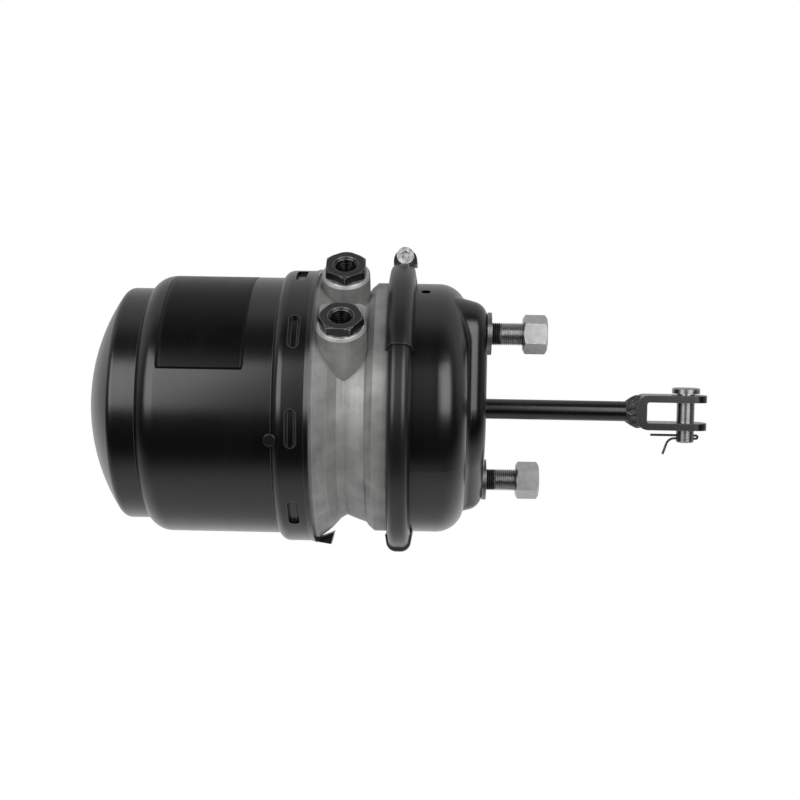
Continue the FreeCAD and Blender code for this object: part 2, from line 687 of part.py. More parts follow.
def port_casting():
    """Aluminium flange casting between the two chambers, with its partition and the two port bosses."""
    body = new_body("port_casting", turn="90 - port_elevation")
    plane = "clamp_plane"
    groove = "lock_ring_depth"
    ring_rear = "window_place - lock_ring_width / 2 - slide_fit"
    ring_front = "window_place + lock_ring_width / 2 + slide_fit"
    flange_rear = plane + " - flange_length"
    turned(body, "Flange", [
        ("spigot_end", "0"),
        ("spigot_end", "barrel_radius_in - free_gap"),
        ("main_seal_rear", "spigot_radius - main_seal_depth"),
        ("main_seal_front", "spigot_radius - main_seal_depth"),
        ("main_seal_front", "spigot_radius"),
        (ring_rear, "spigot_radius"),
        (ring_rear, "spigot_radius - " + groove),
        (ring_front, "spigot_radius - " + groove),
        (ring_front, "spigot_radius"),
        (plane + " - cone_top_distance", "spigot_radius"),
        (plane + " - cone_mid_distance", "cone_mid_radius"),
        (plane + " - cone_foot_distance", "cone_foot_radius"),
        (plane + " - neck_distance", "neck_radius"),
        (plane + " - rib_distance", "rib_radius"),
        (flange_rear + " - step_length - step_foot_length", "step_foot_radius"),
        (flange_rear + " - step_length", "step_radius"),
        (flange_rear, "bowl_radius"),
        (plane + " - rim_foot_half", "bowl_radius"),
        (plane + " - rim_tip_half", "rim_radius"),
        (plane + " - bead_half", "rim_radius"),
        (plane + " - bead_half", "0"),
    ])
    for name, side in (("Upper", ""), ("Lower", "-")):
        sketch = new_sketch(body, name + "BossCircle", "XY_Plane", "cavity_radius * 0.7")
        circle(sketch, "port_place", side + "port_offset", "boss_radius")
        extruded(body, name + "Boss", sketch, "boss_height - cavity_radius * 0.7")
    dressed(body, "Chamfer", "BossBevel", about_z("boss_radius", "boss_height"), "boss_chamfer")
    tab = new_sketch(body, "TabOutline", "XY_Plane", "cavity_radius * 0.7")
    left, right = "port_place - tab_width / 2", "port_place + tab_width / 2"
    outline(tab, [
        (left, "-port_offset"),
        (right, "-port_offset"),
        (right, "-tab_edge - tab_round"),
        (right + " - tab_round", "-tab_edge", "tab_round", "left"),
        (left + " + tab_round", "-tab_edge"),
        (left, "-tab_edge - tab_round", "tab_round", "left"),
    ])
    extruded(body, "Tab", tab, "tab_height - cavity_radius * 0.7")
    turned(body, "SpringCavity", [
        ("spigot_end - free_gap", "0"),
        ("spigot_end - free_gap", "spigot_radius - spigot_wall"),
        ("spigot_end", "spigot_radius - spigot_wall"),
        ("partition_rear - piston_web", "cavity_radius"),
        ("partition_rear", "cavity_radius - piston_web"),
        ("partition_rear", "0"),
    ], cut=True)
    turned(body, "ServiceDish", [
        ("partition_front", "0"),
        ("partition_front", "dish_radius"),
        (plane + " - bead_half - rubber", "dish_mouth_radius"),
        (plane, "dish_mouth_radius"),
        (plane, "0"),
    ], cut=True)
    turned(body, "HubBore", [
        ("partition_rear - free_gap", "0"),
        ("partition_rear - free_gap", "hub_bore_radius"),
        ("partition_front + free_gap", "hub_bore_radius"),
        ("partition_front + free_gap", "0"),
    ], cut=True)
    for name, side, shift in (("Upper", "", "-"), ("Lower", "-", "+")):
        bore = new_sketch(body, name + "BoreCircle", "XY_Plane", "boss_height + free_gap")
        circle(bore, "port_place", side + "port_offset", "adapter_thread_radius + slide_fit")
        extruded(body, name + "Bore", bore, "adapter_depth + free_gap * 2", cut=True)
        passage = new_sketch(body, name + "PassageCircle", "XY_Plane", "boss_height - adapter_depth")
        circle(passage, "port_place %s port_passage_shift" % shift, side + "port_offset", "port_passage_radius")
        extruded(body, name + "Passage", passage, "boss_height - adapter_depth - cavity_radius * 0.7", cut=True)
    return body


def port_adapter(name, side, clock):
    """Hexagonal steel adapter screwed into a boss, with the threaded air port."""
    body = new_body("port_adapter_" + name, "90 - port_elevation", "port_place", side + "port_offset",
                    "-port_elevation")
    face = "boss_height + washer_ring_height"
    mouth_level = face + " + adapter_height"
    thread = new_sketch(body, "ThreadCircle", "XY_Plane", "boss_height - adapter_depth")
    circle(thread, "0", "0", "adapter_thread_radius")
    extruded(body, "Thread", thread, "adapter_depth + washer_ring_height")
    head = new_sketch(body, "HeadHexagon", "XY_Plane", face)
    head.AttachmentOffset.Rotation = FreeCAD.Rotation(FreeCAD.Vector(0, 0, 1), number(clock))
    head.setExpression("AttachmentOffset.Rotation.Angle", expand(clock))
    hexagon(head, "adapter_flats")
    extruded(body, "Head", head, "adapter_height")
    bevel = new_sketch(body, "BevelProfile")
    corner = "adapter_flats / sqrt(3) + free_gap"
    outline(bevel, [
        ("adapter_flats / 2 + adapter_bevel / 4", mouth_level),
        (corner, mouth_level + " - adapter_bevel"),
        (corner, mouth_level),
    ])
    cut = body.newObject("PartDesign::Groove", "Bevel")
    cut.Profile = (bevel, [""])
    cut.ReferenceAxis = (bevel, ["V_Axis"])
    cut.Angle = 360
    mouth = new_sketch(body, "MouthCircle", "XY_Plane", mouth_level)
    circle(mouth, "0", "0", "port_thread_radius")
    extruded(body, "PortThread", mouth, "port_thread_length", cut=True)
    feed = new_sketch(body, "FeedCircle", "XY_Plane", face)
    circle(feed, "0", "0", "port_passage_radius")
    extruded(body, "Feed", feed, "adapter_depth * 2", cut=True)
    dressed(body, "Chamfer", "MouthBevel", about_z("port_thread_radius", mouth_level),
            "port_mouth_radius - port_thread_radius")
    return body


def port_seal(name, side):
    """Flat seal ring under a port adapter."""
    body = new_body("port_seal_" + name, turn="90 - port_elevation")
    sketch = new_sketch(body, "RingCircles", "XY_Plane", "boss_height")
    circle(sketch, "port_place", side + "port_offset", "washer_ring_radius")
    circle(sketch, "port_place", side + "port_offset", "adapter_thread_radius + slide_fit")
    extruded(body, "Ring", sketch, "washer_ring_height")
    return body


def service_housing():
    """Pressed steel bowl with a mounting pad drawn out along the stud line."""
    body = new_body("service_housing", turn="stud_tilt")
    plane = "clamp_plane"
    turned(body, "Bowl", [
        (plane + " + bead_half", "0"),
        (plane + " + bead_half", "rim_radius"),
        (plane + " + rim_tip_half", "rim_radius"),
        (plane + " + rim_foot_half", "bowl_radius"),
        ("corner_start", "bowl_radius"),
        ("bowl_floor", "bowl_flat_radius", "bowl_corner", "right"),
        ("bowl_floor", "0"),
    ], tilt="90")
    for name, wall, front in (("Pad", "0", "0"), ("PadHollow", "bowl_wall", "-bowl_wall")):
        sections = []
        for station, place, growth in (("Root", "-pad_height - pad_root", "pad_growth"), ("Face", front, "0")):
            sketch = new_sketch(body, name + station, "YZ_Plane", place)
            pad_outline(sketch, growth + " - " + wall)
            sections.append(sketch)
        if name == "Pad":
            pad = body.newObject("PartDesign::AdditiveLoft", name)
            pad.Profile = sections[0]
            pad.Sections = sections[1:]
            pad.Ruled = True
            dressed(body, "Fillet", "PadBrim", in_plane("0"), "pad_round")
            dressed(body, "Fillet", "PadFoot", at_pad_foot, "pad_blend")
            turned(body, "BowlHollow", [
                (plane, "0"),
                (plane, "bowl_radius_in"),
                ("corner_start", "bowl_radius_in"),
                ("bowl_floor_in", "bowl_flat_radius", "bowl_corner_in", "right"),
                ("bowl_floor_in", "0"),
            ], cut=True, tilt="90")
        else:
            hollow = body.newObject("PartDesign::SubtractiveLoft", name)
            hollow.Profile = sections[0]
            hollow.Sections = sections[1:]
            hollow.Ruled = True
            dressed(body, "Fillet", "HollowBrim", in_plane("-bowl_wall"), "pad_round_in")
    holes = new_sketch(body, "HoleCircles", "YZ_Plane", "free_gap")
    circle(holes, "0", "0", "rod_hole_radius")
    circle(holes, "0", "stud_circle_radius", "stud_seat_radius + push_fit")
    circle(holes, "0", "-stud_circle_radius", "stud_seat_radius + push_fit")
    extruded(body, "Holes", holes, "bowl_wall * 3", cut=True)
    vent = new_sketch(body, "VentCircle", "XY_Plane", "bowl_radius + free_gap", "90 - vent_elevation - stud_tilt")
    circle(vent, "-vent_distance", "0", "vent_radius")
    hole = extruded(body, "Vent", vent, "bowl_wall * 3", cut=True)
    around(body, "Vents", hole, "2")
    return body


def in_plane(place):
    """Test for edges that lie in one plane across the X axis."""
    level = number(place)

    def test(edge):
        return abs(edge.BoundBox.XMin - level) < 1e-4 and abs(edge.BoundBox.XMax - level) < 1e-4

    return test


def at_pad_foot(edge):
    """Test for the edges where the pad's sides meet the bowl."""
    middle = edge.valueAt((edge.FirstParameter + edge.LastParameter) / 2)
    curve = edge.Curve
    about_axis = isinstance(curve, Part.Circle) and math.hypot(curve.Center.y, curve.Center.z) < 1e-6
    seam = edge.BoundBox.YLength < 1e-4
    level = number("pad_start") < middle.x < number("bowl_floor") + 1e-4
    return level and not about_axis and not seam


def pad_outline(sketch, growth):
    """Lozenge of the mounting pad: a wide middle drawn in to a round end at each stud."""
    middle, end = "(pad_middle_radius + %s)" % growth, "(pad_end_radius + %s)" % growth
    sine = "((pad_middle_radius - pad_end_radius) / stud_circle_radius)"
    cosine = "sqrt(1 - %s^2)" % sine
    side, low = "%s * %s" % (middle, cosine), "%s * %s" % (middle, sine)
    tip_side, tip = "%s * %s" % (end, cosine), "(stud_circle_radius + %s * %s)" % (end, sine)
    outline(sketch, [
        (side, low, middle, "left"),
        (tip_side, tip),
        ("-" + tip_side, tip, end, "left"),
        ("-" + side, low),
        ("-" + side, "-" + low, middle, "left"),
        ("-" + tip_side, "-" + tip),
        (tip_side, "-" + tip, end, "left"),
        (side, "-" + low),
    ])


def clamp_half(name, start):
    """Half of the V-section ring that draws the two flanges together."""
    body = new_body("clamp_ring_" + name, turn="%s + clamp_split / 2" % start, along="clamp_plane")
    turned(body, "Section", [
        ("-clamp_base_half", "clamp_base_radius"),
        ("-clamp_crest_half", "clamp_crest_radius"),
        ("clamp_crest_half", "clamp_crest_radius"),
        ("clamp_base_half", "clamp_base_radius"),
        ("clamp_base_in_half", "clamp_base_radius"),
        ("crest_in_half", "crest_in_radius"),
        ("-crest_in_half", "crest_in_radius"),
        ("-clamp_base_in_half", "clamp_base_radius"),
    ], angle="180 - clamp_split")
    crest = about_x(("clamp_crest_half", "clamp_crest_radius"), ("-clamp_crest_half", "clamp_crest_radius"))
    dressed(body, "Fillet", "CrestRounds", crest, "clamp_crest_round")
    return body


def strap_section(body, angle):
    """Channel that fits over the clamp ring."""
    turned(body, "Channel", [
        ("-strap_base_half", "strap_base_radius"),
        ("-strap_crest_half", "strap_crest_radius"),
        ("strap_crest_half", "strap_crest_radius"),
        ("strap_base_half", "strap_base_radius"),
        ("strap_base_in_half", "strap_base_radius"),
        ("clamp_crest_half", "clamp_crest_radius"),
        ("-clamp_crest_half", "clamp_crest_radius"),
        ("-strap_base_in_half", "strap_base_radius"),
    ], angle=angle)
    inside = about_x(("clamp_crest_half", "clamp_crest_radius"), ("-clamp_crest_half", "clamp_crest_radius"))
    dressed(body, "Fillet", "InnerRounds", inside, "clamp_crest_round")
    crest = about_x(("strap_crest_half", "strap_crest_radius"), ("-strap_crest_half", "strap_crest_radius"))
    dressed(body, "Fillet", "CrestRounds", crest, "clamp_crest_round + strap_wall")


def clamp_link():
    """Channel that joins the two ring halves at the bottom."""
    body = new_body("clamp_link", turn="180 - link_angle / 2", along="clamp_plane")
    strap_section(body, "link_angle")
    return body


def clamp_saddle(name, half_turn, shift, room):
    """Channel on one end of the ring, with the upright lug that the clamp screw passes through."""
    body = new_body("clamp_saddle_" + name, along="clamp_plane")
    body.Placement.Rotation = FreeCAD.Rotation(FreeCAD.Vector(0, 0, 1), half_turn)
    strap_section(body, "saddle_angle")
    split = new_sketch(body, "SplitBox", "XZ_Plane", "lug_gap / 2")
    outline(split, [
        ("-strap_base_half - free_gap", "strap_base_radius - free_gap"),
        ("strap_base_half + free_gap", "strap_base_radius - free_gap"),
        ("strap_base_half + free_gap", "strap_crest_radius + free_gap"),
        ("-strap_base_half - free_gap", "strap_crest_radius + free_gap"),
    ])
    extruded(body, "Split", split, "lug_gap", cut=True)
    lug = new_sketch(body, "LugOutline", "XZ_Plane", "lug_gap / 2")
    quarter = "lug_half_width"
    left, right = shift + " - lug_half_width", shift + " + lug_half_width"
    outline(lug, [
        (right, "clamp_crest_radius"),
        (right, "clamp_screw_height - lug_drop"),
        (shift, "clamp_screw_height - lug_drop + lug_half_width", quarter, "left"),
        (left, "clamp_screw_height - lug_drop", quarter, "left"),
        (left, "clamp_crest_radius"),
    ])
    extruded(body, "Lug", lug, "lug_thickness")
    hole = new_sketch(body, "ScrewHole", "XZ_Plane", "lug_gap / 2 + lug_thickness")
    circle(hole, shift, "clamp_screw_height", "clamp_screw_radius + slide_fit")
    extruded(body, "ScrewBore", hole, "lug_thickness", cut=True)
    seat = new_sketch(body, "HeadRoomCircle", "XZ_Plane",
                      "lug_gap / 2 + lug_thickness + clamp_head_length + free_gap")
    circle(seat, shift, "clamp_screw_height", room + " + free_gap")
    extruded(body, "HeadRoom", seat, "clamp_head_length + free_gap", cut=True)
    return body


def clamp_screw():
    """Socket-head screw across the ring's split."""
    body = new_body("clamp_screw", along="clamp_plane + lug_shift")
    reach = "lug_gap / 2 + lug_thickness"
    shank = new_sketch(body, "ShankCircle", "XZ_Plane", "-(%s) - clamp_nut_height" % reach)
    circle(shank, "0", "clamp_screw_height", "clamp_screw_radius")
    extruded(body, "Shank", shank, "2 * (%s) + clamp_nut_height" % reach)
    head = new_sketch(body, "HeadCircle", "XZ_Plane", reach)
    circle(head, "0", "clamp_screw_height", "clamp_head_radius")
    extruded(body, "Head", head, "clamp_head_length")
    socket = new_sketch(body, "SocketHexagon", "XZ_Plane", reach + " + clamp_head_length")
    hexagon(socket, "clamp_socket_flats", "0", "clamp_screw_height")
    extruded(body, "Socket", socket, "clamp_socket_depth", cut=True)
    return body


def clamp_nut():
    """Nut of the clamp screw."""
    body = new_body("clamp_nut", along="clamp_plane + lug_shift")
    sketch = new_sketch(body, "NutHexagon", "XZ_Plane", "-lug_gap / 2 - lug_thickness - clamp_nut_height")
    hexagon(sketch, "clamp_nut_flats", "0", "clamp_screw_height", flat=True)
    circle(sketch, "0", "clamp_screw_height", "clamp_screw_radius + push_fit")
    extruded(body, "Nut", sketch, "clamp_nut_height")
    return body


def diaphragm():
    """Rubber diaphragm, held at its bead between the flanges and drawn forward over the push plate."""
    body = new_body("diaphragm")
    front = "plate_back - seat_gap"
    turned(body, "Sheet", [
        ("clamp_plane - bead_half", "bead_radius"),
        ("clamp_plane - bead_half", "bowl_radius_in - rubber - seat_gap"),
        (front + " - rubber", "plate_radius"),
        (front + " - rubber", "0"),
        (front, "0"),
        (front, "plate_radius + rubber"),
        ("clamp_plane + bead_half", "bowl_radius_in - seat_gap"),
        ("clamp_plane + bead_half", "bead_radius"),
    ])
    return body


def mounting_stud(name, bearing):
    """Stud pressed through the pad: head inside, seat in the wall, thread outside.

    The thread stands at its full radius where it is free, and at its root inside the nut.
    """
    body = new_body("stud_" + name, offset="stud_circle_radius", bearing=bearing)
    turned(body, "Stud", [
        ("-bowl_wall - stud_head_thickness", "0"),
        ("-bowl_wall - stud_head_thickness", "stud_head_radius"),
        ("-bowl_wall", "stud_head_radius"),
        ("-bowl_wall", "stud_seat_radius"),
        ("0", "stud_seat_radius"),
        ("0", "stud_root_radius"),
        ("washer_thickness + seat_gap", "stud_root_radius"),
        ("washer_thickness + seat_gap", "stud_radius"),
        ("nut_distance - seat_gap", "stud_radius"),
        ("nut_distance - seat_gap", "stud_root_radius"),
        ("stud_length", "stud_root_radius"),
        ("stud_length", "0"),
    ])
    return body


def stud_washer(name, bearing):
    """Plain washer lying on the mounting face."""
    body = new_body("washer_" + name, offset="stud_circle_radius", bearing=bearing)
    turned(body, "Washer", [
        ("0", "washer_hole_radius"),
        ("washer_thickness", "washer_hole_radius"),
        ("washer_thickness", "washer_radius"),
        ("0", "washer_radius"),
    ])
    return body


def stud_nut(name, bearing):
    """Hexagon nut run part way on to its stud, bevelled at both ends."""
    body = new_body("nut_" + name, along="nut_distance", offset="stud_circle_radius", bearing=bearing)
    sketch = new_sketch(body, "NutHexagon", "YZ_Plane")
    hexagon(sketch, "nut_flats")
    circle(sketch, "0", "0", "stud_root_radius + push_fit")
    extruded(body, "Nut", sketch, "nut_height")
    corner = "nut_flats / sqrt(3) + free_gap"
    for end, face, inward in (("Rear", "0", "+"), ("Front", "nut_height", "-")):
        turned(body, end + "Bevel", [
            (face, "nut_flats / 2 - nut_chamfer / 2"),
            (face, corner),
            ("%s %s nut_chamfer * 1.5" % (face, inward), corner),
        ], cut=True)
    return body


def dust_guard():
    """Plastic ring around the rod inside the pad, held down by the return spring."""
    rear = "-bowl_wall - guard_thickness"
    return ring("dust_guard", rear, "-bowl_wall", "rod_radius + seat_gap", "guard_radius")


def push_plate():
    """Plate that the diaphragm pushes on."""
    return ring("push_plate", "plate_back", "plate_front", "rod_radius + push_fit", "plate_radius")


def push_rod():
    """Round push rod from the plate to the clevis."""
    body = new_body("push_rod")
    turned(body, "Rod", [
        ("plate_back", "0"),
        ("plate_back", "rod_radius"),
        ("fork_back", "rod_radius"),
        ("fork_back", "0"),
    ])
    return body


def fork_outline(sketch):
    """Side view of the clevis: a bar bent to a U, thick at its web."""
    outer, inner, half = "fork_bend", "fork_bend_in", "fork_gap / 2"
    throat = "fork_back + fork_web"
    outline(sketch, [
        ("fork_end", "fork_half"),
        ("fork_back + " + outer, "fork_half"),
        ("fork_back", "fork_half - " + outer, outer, "left"),
        ("fork_back", outer + " - fork_half"),
        ("fork_back + " + outer, "-fork_half", outer, "left"),
        ("fork_end", "-fork_half"),
        ("fork_end", "-" + half),
        (throat + " + " + inner, "-" + half),
        (throat, inner + " - " + half, inner, "right"),
        (throat, half + " - " + inner),
        (throat + " + " + inner, half, inner, "right"),
        ("fork_end", half),
    ])


def rod_weld():
    """Weld bead around the rod's end, run on to the bend of the clevis."""
    body = new_body("rod_weld", turn="fork_roll")
    turned(body, "Bead", [
        ("weld_start", "rod_radius + push_fit"),
        ("weld_front", "rod_radius + push_fit"),
        ("weld_front", "weld_radius"),
        ("weld_start", "rod_radius + weld_toe", "weld_length * 3", "left"),
    ])
    seat = new_sketch(body, "ForkSeat", "XZ_Plane", "fork_width / 2")
    fork_outline(seat)
    extruded(body, "ForkCut", seat, "fork_width", cut=True)
    return body


def clevis():
    """U-shaped clevis bent from flat bar, with the hole for its pin."""
    body = new_body("clevis", turn="fork_roll")
    bar = new_sketch(body, "BarOutline", "XZ_Plane")
    fork_outline(bar)
    extruded(body, "Bar", bar, "fork_width", both=True)
    end, side = number("fork_end"), number("fork_width / 2")

    def ear_corner(edge):
        box = edge.BoundBox
        upright = box.ZLength > 1 and box.XLength < 1e-4 and box.YLength < 1e-4
        return upright and abs(box.XMin - end) < 1e-4 and abs(abs(box.YMin) - side) < 1e-4

    dressed(body, "Fillet", "EarEnds", ear_corner, "fork_end_round")
    hole = new_sketch(body, "PinCircle", "XY_Plane", "fork_half + free_gap")
    circle(hole, "fork_pin_distance", "0", "pin_radius + slide_fit")
    extruded(body, "PinBore", hole, "2 * (fork_half + free_gap)", cut=True)
    return body


def clevis_pin():
    """Headed pin through the clevis, cross-drilled for its split pin."""
    body = new_body("clevis_pin", turn="fork_roll")
    head_seat = "fork_half + pin_play"
    shank = new_sketch(body, "ShankCircle", "XY_Plane", head_seat + " - pin_length")
    circle(shank, "fork_pin_distance", "0", "pin_radius")
    extruded(body, "Shank", shank, "pin_length")
    head = new_sketch(body, "HeadCircle", "XY_Plane", head_seat)
    circle(head, "fork_pin_distance", "0", "pin_head_radius")
    extruded(body, "Head", head, "pin_head_height")
    dressed(body, "Chamfer", "PointBevel", about_z("pin_radius", head_seat + " - pin_length"), "pin_chamfer")
    dressed(body, "Chamfer", "HeadBevel", about_z("pin_head_radius", head_seat + " + pin_head_height"),
            "pin_chamfer")
    hole = new_sketch(body, "SplitCircle", "YZ_Plane", "fork_pin_distance + pin_radius + free_gap")
    circle(hole, "0", "-fork_half - split_drop", "split_bend + split_wire_radius + free_gap / 4")
    extruded(body, "SplitHole", hole, "2 * (pin_radius + free_gap)", cut=True)
    return body


def split_pin():
    """Split pin bent from one wire: a straight leg, the eye, and a leg bent open."""
    body = new_body("split_pin", turn="fork_roll")
    level = "-fork_half - split_drop"
    start = "fork_pin_distance - split_leg"
    eye = "fork_pin_distance + pin_radius + split_eye"
    opening = "fork_pin_distance - pin_radius - split_bend"
    bend_end = "%s - split_open_bend * sin(split_open_angle)" % opening
    bend_drop = "%s - split_bend - split_open_bend * (1 - cos(split_open_angle))" % level
    path = new_sketch(body, "WirePath", "XZ_Plane")
    chain(path, [
        (start, level + " + split_bend"),
        (eye, level + " + split_bend"),
        (eye + " + split_bend", level, "split_bend", "right"),
        (eye, level + " - split_bend", "split_bend", "right"),
        (opening, level + " - split_bend"),
        (bend_end, bend_drop, "split_open_bend", "left"),
        (bend_end + " - split_open_leg * cos(split_open_angle)",
         bend_drop + " - split_open_leg * sin(split_open_angle)"),
    ], closed=False)
    section = new_sketch(body, "WireSection", "YZ_Plane", start)
    circle(section, "0", level + " + split_bend", "split_wire_radius")
    wire = body.newObject("PartDesign::AdditivePipe", "Wire")
    wire.Profile = (section, [""])
    wire.Spine = (path, [""])
    return body


def parking_piston():
    """Deep piston of the spring brake, open to the rear for the power spring."""
    body = new_body("parking_piston")
    bore, cup_in = "tube_radius + push_fit", "piston_cup_radius - piston_wall"
    rim = "piston_rim_radius"
    guide_rear, guide_front = "piston_rim_rear + piston_land", "piston_guide_front"
    seal_rear, seal_front = "piston_seal_rear", "piston_rim_front - piston_land"
    turned(body, "Piston", [
        ("piston_rim_rear", cup_in),
        ("piston_rim_rear", rim),
        (guide_rear, rim),
        (guide_rear, rim + " - piston_guide_depth"),
        (guide_front, rim + " - piston_guide_depth"),
        (guide_front, rim),
        (seal_rear, rim),
        (seal_rear, rim + " - piston_seal_depth"),
        (seal_front, rim + " - piston_seal_depth"),
        (seal_front, rim),
        ("piston_rim_front", rim),
        ("piston_rim_front", "piston_cup_radius"),
        ("piston_seat", "piston_cup_radius"),
        ("piston_front", "piston_cup_radius - piston_web"),
        ("piston_front", bore),
        ("piston_seat", bore),
        ("piston_seat", cup_in),
    ])
    return body


def piston_rings():
    """Guide ring and lip seal in the piston's rim, running in the barrel."""
    for label, rear, front, depth in (
        ("piston_guide", "piston_rim_rear + piston_land", "piston_guide_front", "piston_guide_depth"),
        ("piston_seal", "piston_seal_rear", "piston_rim_front - piston_land", "piston_seal_depth"),
    ):
        inner = "piston_rim_radius - %s + slide_fit" % depth
        ring(label, rear + " + slide_fit", front + " - slide_fit", inner, "barrel_radius_in - slide_fit")


def push_tube():
    """Steel tube of the parking piston; its floor lets the release bolt through but not its collar."""
    body = new_body("push_tube")
    hole = "bolt_radius + seat_gap"
    turned(body, "Tube", [
        ("tube_rear", hole),
        ("tube_rear", "tube_radius"),
        ("tube_front - tube_cap_thickness", "tube_radius"),
        ("tube_front - tube_cap_thickness", "tube_radius - tube_wall"),
        ("tube_floor_front", "tube_radius - tube_wall"),
        ("tube_floor_front", hole),
    ])
    return body


def tube_cap():
    """Plug that closes the push tube and bears on the diaphragm."""
    body = new_body("tube_cap")
    shoulder, plug = "tube_front - tube_cap_thickness", "tube_radius - tube_wall - slide_fit"
    turned(body, "Cap", [
        (shoulder + " - tube_cap_plug", "0"),
        (shoulder + " - tube_cap_plug", plug),
        (shoulder, plug),
        (shoulder, "tube_radius"),
        ("tube_front", "tube_radius"),
        ("tube_front", "0"),
    ])
    return body


def tube_guides():
    """Guide bush and rod seal of the push tube, in the partition's bore."""
    rear, bore = "partition_rear + free_gap", "tube_radius + slide_fit"
    ring("tube_bush", rear, rear + " + bush_length", bore, "hub_bore_radius - push_fit")
    seal_rear = rear + " + bush_length + slide_fit"
    ring("tube_seal", seal_rear, seal_rear + " + tube_seal_length", bore, "hub_bore_radius - push_fit")


def coil_spring(label, start, half_turn, length, radius, wire, turns, cone):
    """Coil spring that runs forwards from its start, or rearwards after a half turn, and widens by a cone.

    The round wire is drawn with eight flats, which keeps its facets few.
    """
    body = new_body(label, along=start)
    body.Placement.Rotation = FreeCAD.Rotation(FreeCAD.Vector(0, 0, 1), half_turn)
    section = new_sketch(body, "WireSection", "XZ_Plane")
    flat, tip = "(%s / 2 * tan(22.5))" % wire, "(%s / 2)" % wire
    outline(section, [(x, radius + y) for x, y in (
        (flat, " + " + tip), ("-" + flat, " + " + tip), ("-" + tip, " + " + flat), ("-" + tip, " - " + flat),
        ("-" + flat, " - " + tip), (flat, " - " + tip), (tip, " - " + flat), (tip, " + " + flat),
    )])
    coil = body.newObject("PartDesign::AdditiveHelix", "Coil")
    coil.Profile = (section, [""])
    coil.ReferenceAxis = (section, ["H_Axis"])
    coil.Mode = "height-turns-angle"
    coil.Height = number(length)
    coil.Turns = number(turns)
    coil.Angle = number(cone)
    coil.setExpression("Height", expand(length))
    coil.setExpression("Turns", expand(turns))
    coil.setExpression("Angle", expand(cone))
    return body


def checked_export():
    """Stop on any failed object, then write one STEP file per sub-part."""
    document.recompute()
    for item in document.Objects:
        if "Invalid" in item.State or "Error" in item.State:
            raise RuntimeError("%s (%s) failed: %s" % (item.Label, item.TypeId, item.State))
    os.makedirs("parts", exist_ok=True)
    for body in document.findObjects("PartDesign::Body"):
        if body.Shape.isNull() or not body.Shape.isValid():
            raise RuntimeError(body.Label + " has no valid shape")
        body.Shape.exportStep("parts/%s.step" % body.Label)


spring_housing()
vent_plug()
release_insert()
lock_ring()
main_seal()
port_casting()
for port_name, port_side, port_clock in (("upper", "", "0"), ("lower", "-", "lower_adapter_turn")):
    port_adapter(port_name, port_side, port_clock)
    port_seal(port_name, port_side)
service_housing()
clamp_half("near", "0")
clamp_half("far", "180")
clamp_link()
clamp_saddle("near", 0, "lug_shift", "clamp_head_radius")
clamp_saddle("far", 180, "-lug_shift", "clamp_nut_flats / sqrt(3)")
clamp_screw()
clamp_nut()
diaphragm()
for stud_name, stud_bearing in (("upper", "stud_tilt"), ("lower", "stud_tilt + 180")):
    mounting_stud(stud_name, stud_bearing)
    stud_washer(stud_name, stud_bearing)
    stud_nut(stud_name, stud_bearing)
dust_guard()
tube_guides()
coil_spring("power_spring", "power_rear", 0, "power_front - power_rear", "power_coil_radius", "power_wire",
            "power_turns", "0")
coil_spring("return_spring", "return_front", 180, "return_length", "return_small_radius", "return_wire",
            "return_turns", "return_cone")
parking_piston()
piston_rings()
push_tube()
tube_cap()
release_bolt()
push_plate()
push_rod()
rod_weld()
clevis()
clevis_pin()
split_pin()
checked_export()
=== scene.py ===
import math

import bpy
from mathutils import Matrix, Quaternion, Vector


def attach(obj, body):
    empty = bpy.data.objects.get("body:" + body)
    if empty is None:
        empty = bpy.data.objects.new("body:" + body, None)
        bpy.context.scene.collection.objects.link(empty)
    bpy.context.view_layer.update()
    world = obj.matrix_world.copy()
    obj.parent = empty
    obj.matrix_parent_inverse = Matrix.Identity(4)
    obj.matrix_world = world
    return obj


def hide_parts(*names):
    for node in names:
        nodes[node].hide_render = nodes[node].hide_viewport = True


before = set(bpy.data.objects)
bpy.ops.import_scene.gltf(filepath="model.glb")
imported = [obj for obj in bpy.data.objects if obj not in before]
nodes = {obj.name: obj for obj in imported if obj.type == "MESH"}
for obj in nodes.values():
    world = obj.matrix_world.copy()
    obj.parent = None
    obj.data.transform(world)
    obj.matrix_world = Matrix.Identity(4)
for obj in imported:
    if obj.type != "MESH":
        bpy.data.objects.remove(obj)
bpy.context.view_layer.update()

# A spring and service brake chamber, seen from its side: the push rod runs along +X, the camera stands at -Y.
# Lengths are in metres and angles in degrees, except where a name or a comment says millimetres.
MM = 0.001
X_AXIS = Vector((1, 0, 0))

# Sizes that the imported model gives.
BARREL_RADIUS = 92.4 * MM
STUD_TILT = 28.6
STUD_CIRCLE = 120.65 / 2 * MM
ROD_RADIUS = 7.25 * MM
THREAD_PITCH = 1.5 * MM
PORT_PLACE = -99 * MM
PORT_OFFSET = 27.7 * MM
PORT_ELEVATION = 47
BOSS_FACE = 100.5 * MM
TAB_FACE = 99.6 * MM
SEAL_THICKNESS = 1.2 * MM
ADAPTER_THICKNESS = 6.5 * MM

# Directions of the two ports: out of a boss, and along the line that joins the bosses.
port_lift = math.radians(PORT_ELEVATION)
PORT_OUT = Vector((0, -math.cos(port_lift), math.sin(port_lift)))
PORT_ALONG = Vector((0, math.sin(port_lift), math.cos(port_lift)))

# A noise texture's values mostly lie between these two.
NOISE_SPREAD = {"From Min": 0.3, "From Max": 0.7}


def linear(code, alpha=1.0):
    """An sRGB hex colour as the linear values that a shader takes."""
    parts = [int(code[i:i + 2], 16) / 255 for i in (1, 3, 5)]
    return [c / 12.92 if c <= 0.04045 else ((c + 0.055) / 1.055) ** 2.4 for c in parts] + [alpha]


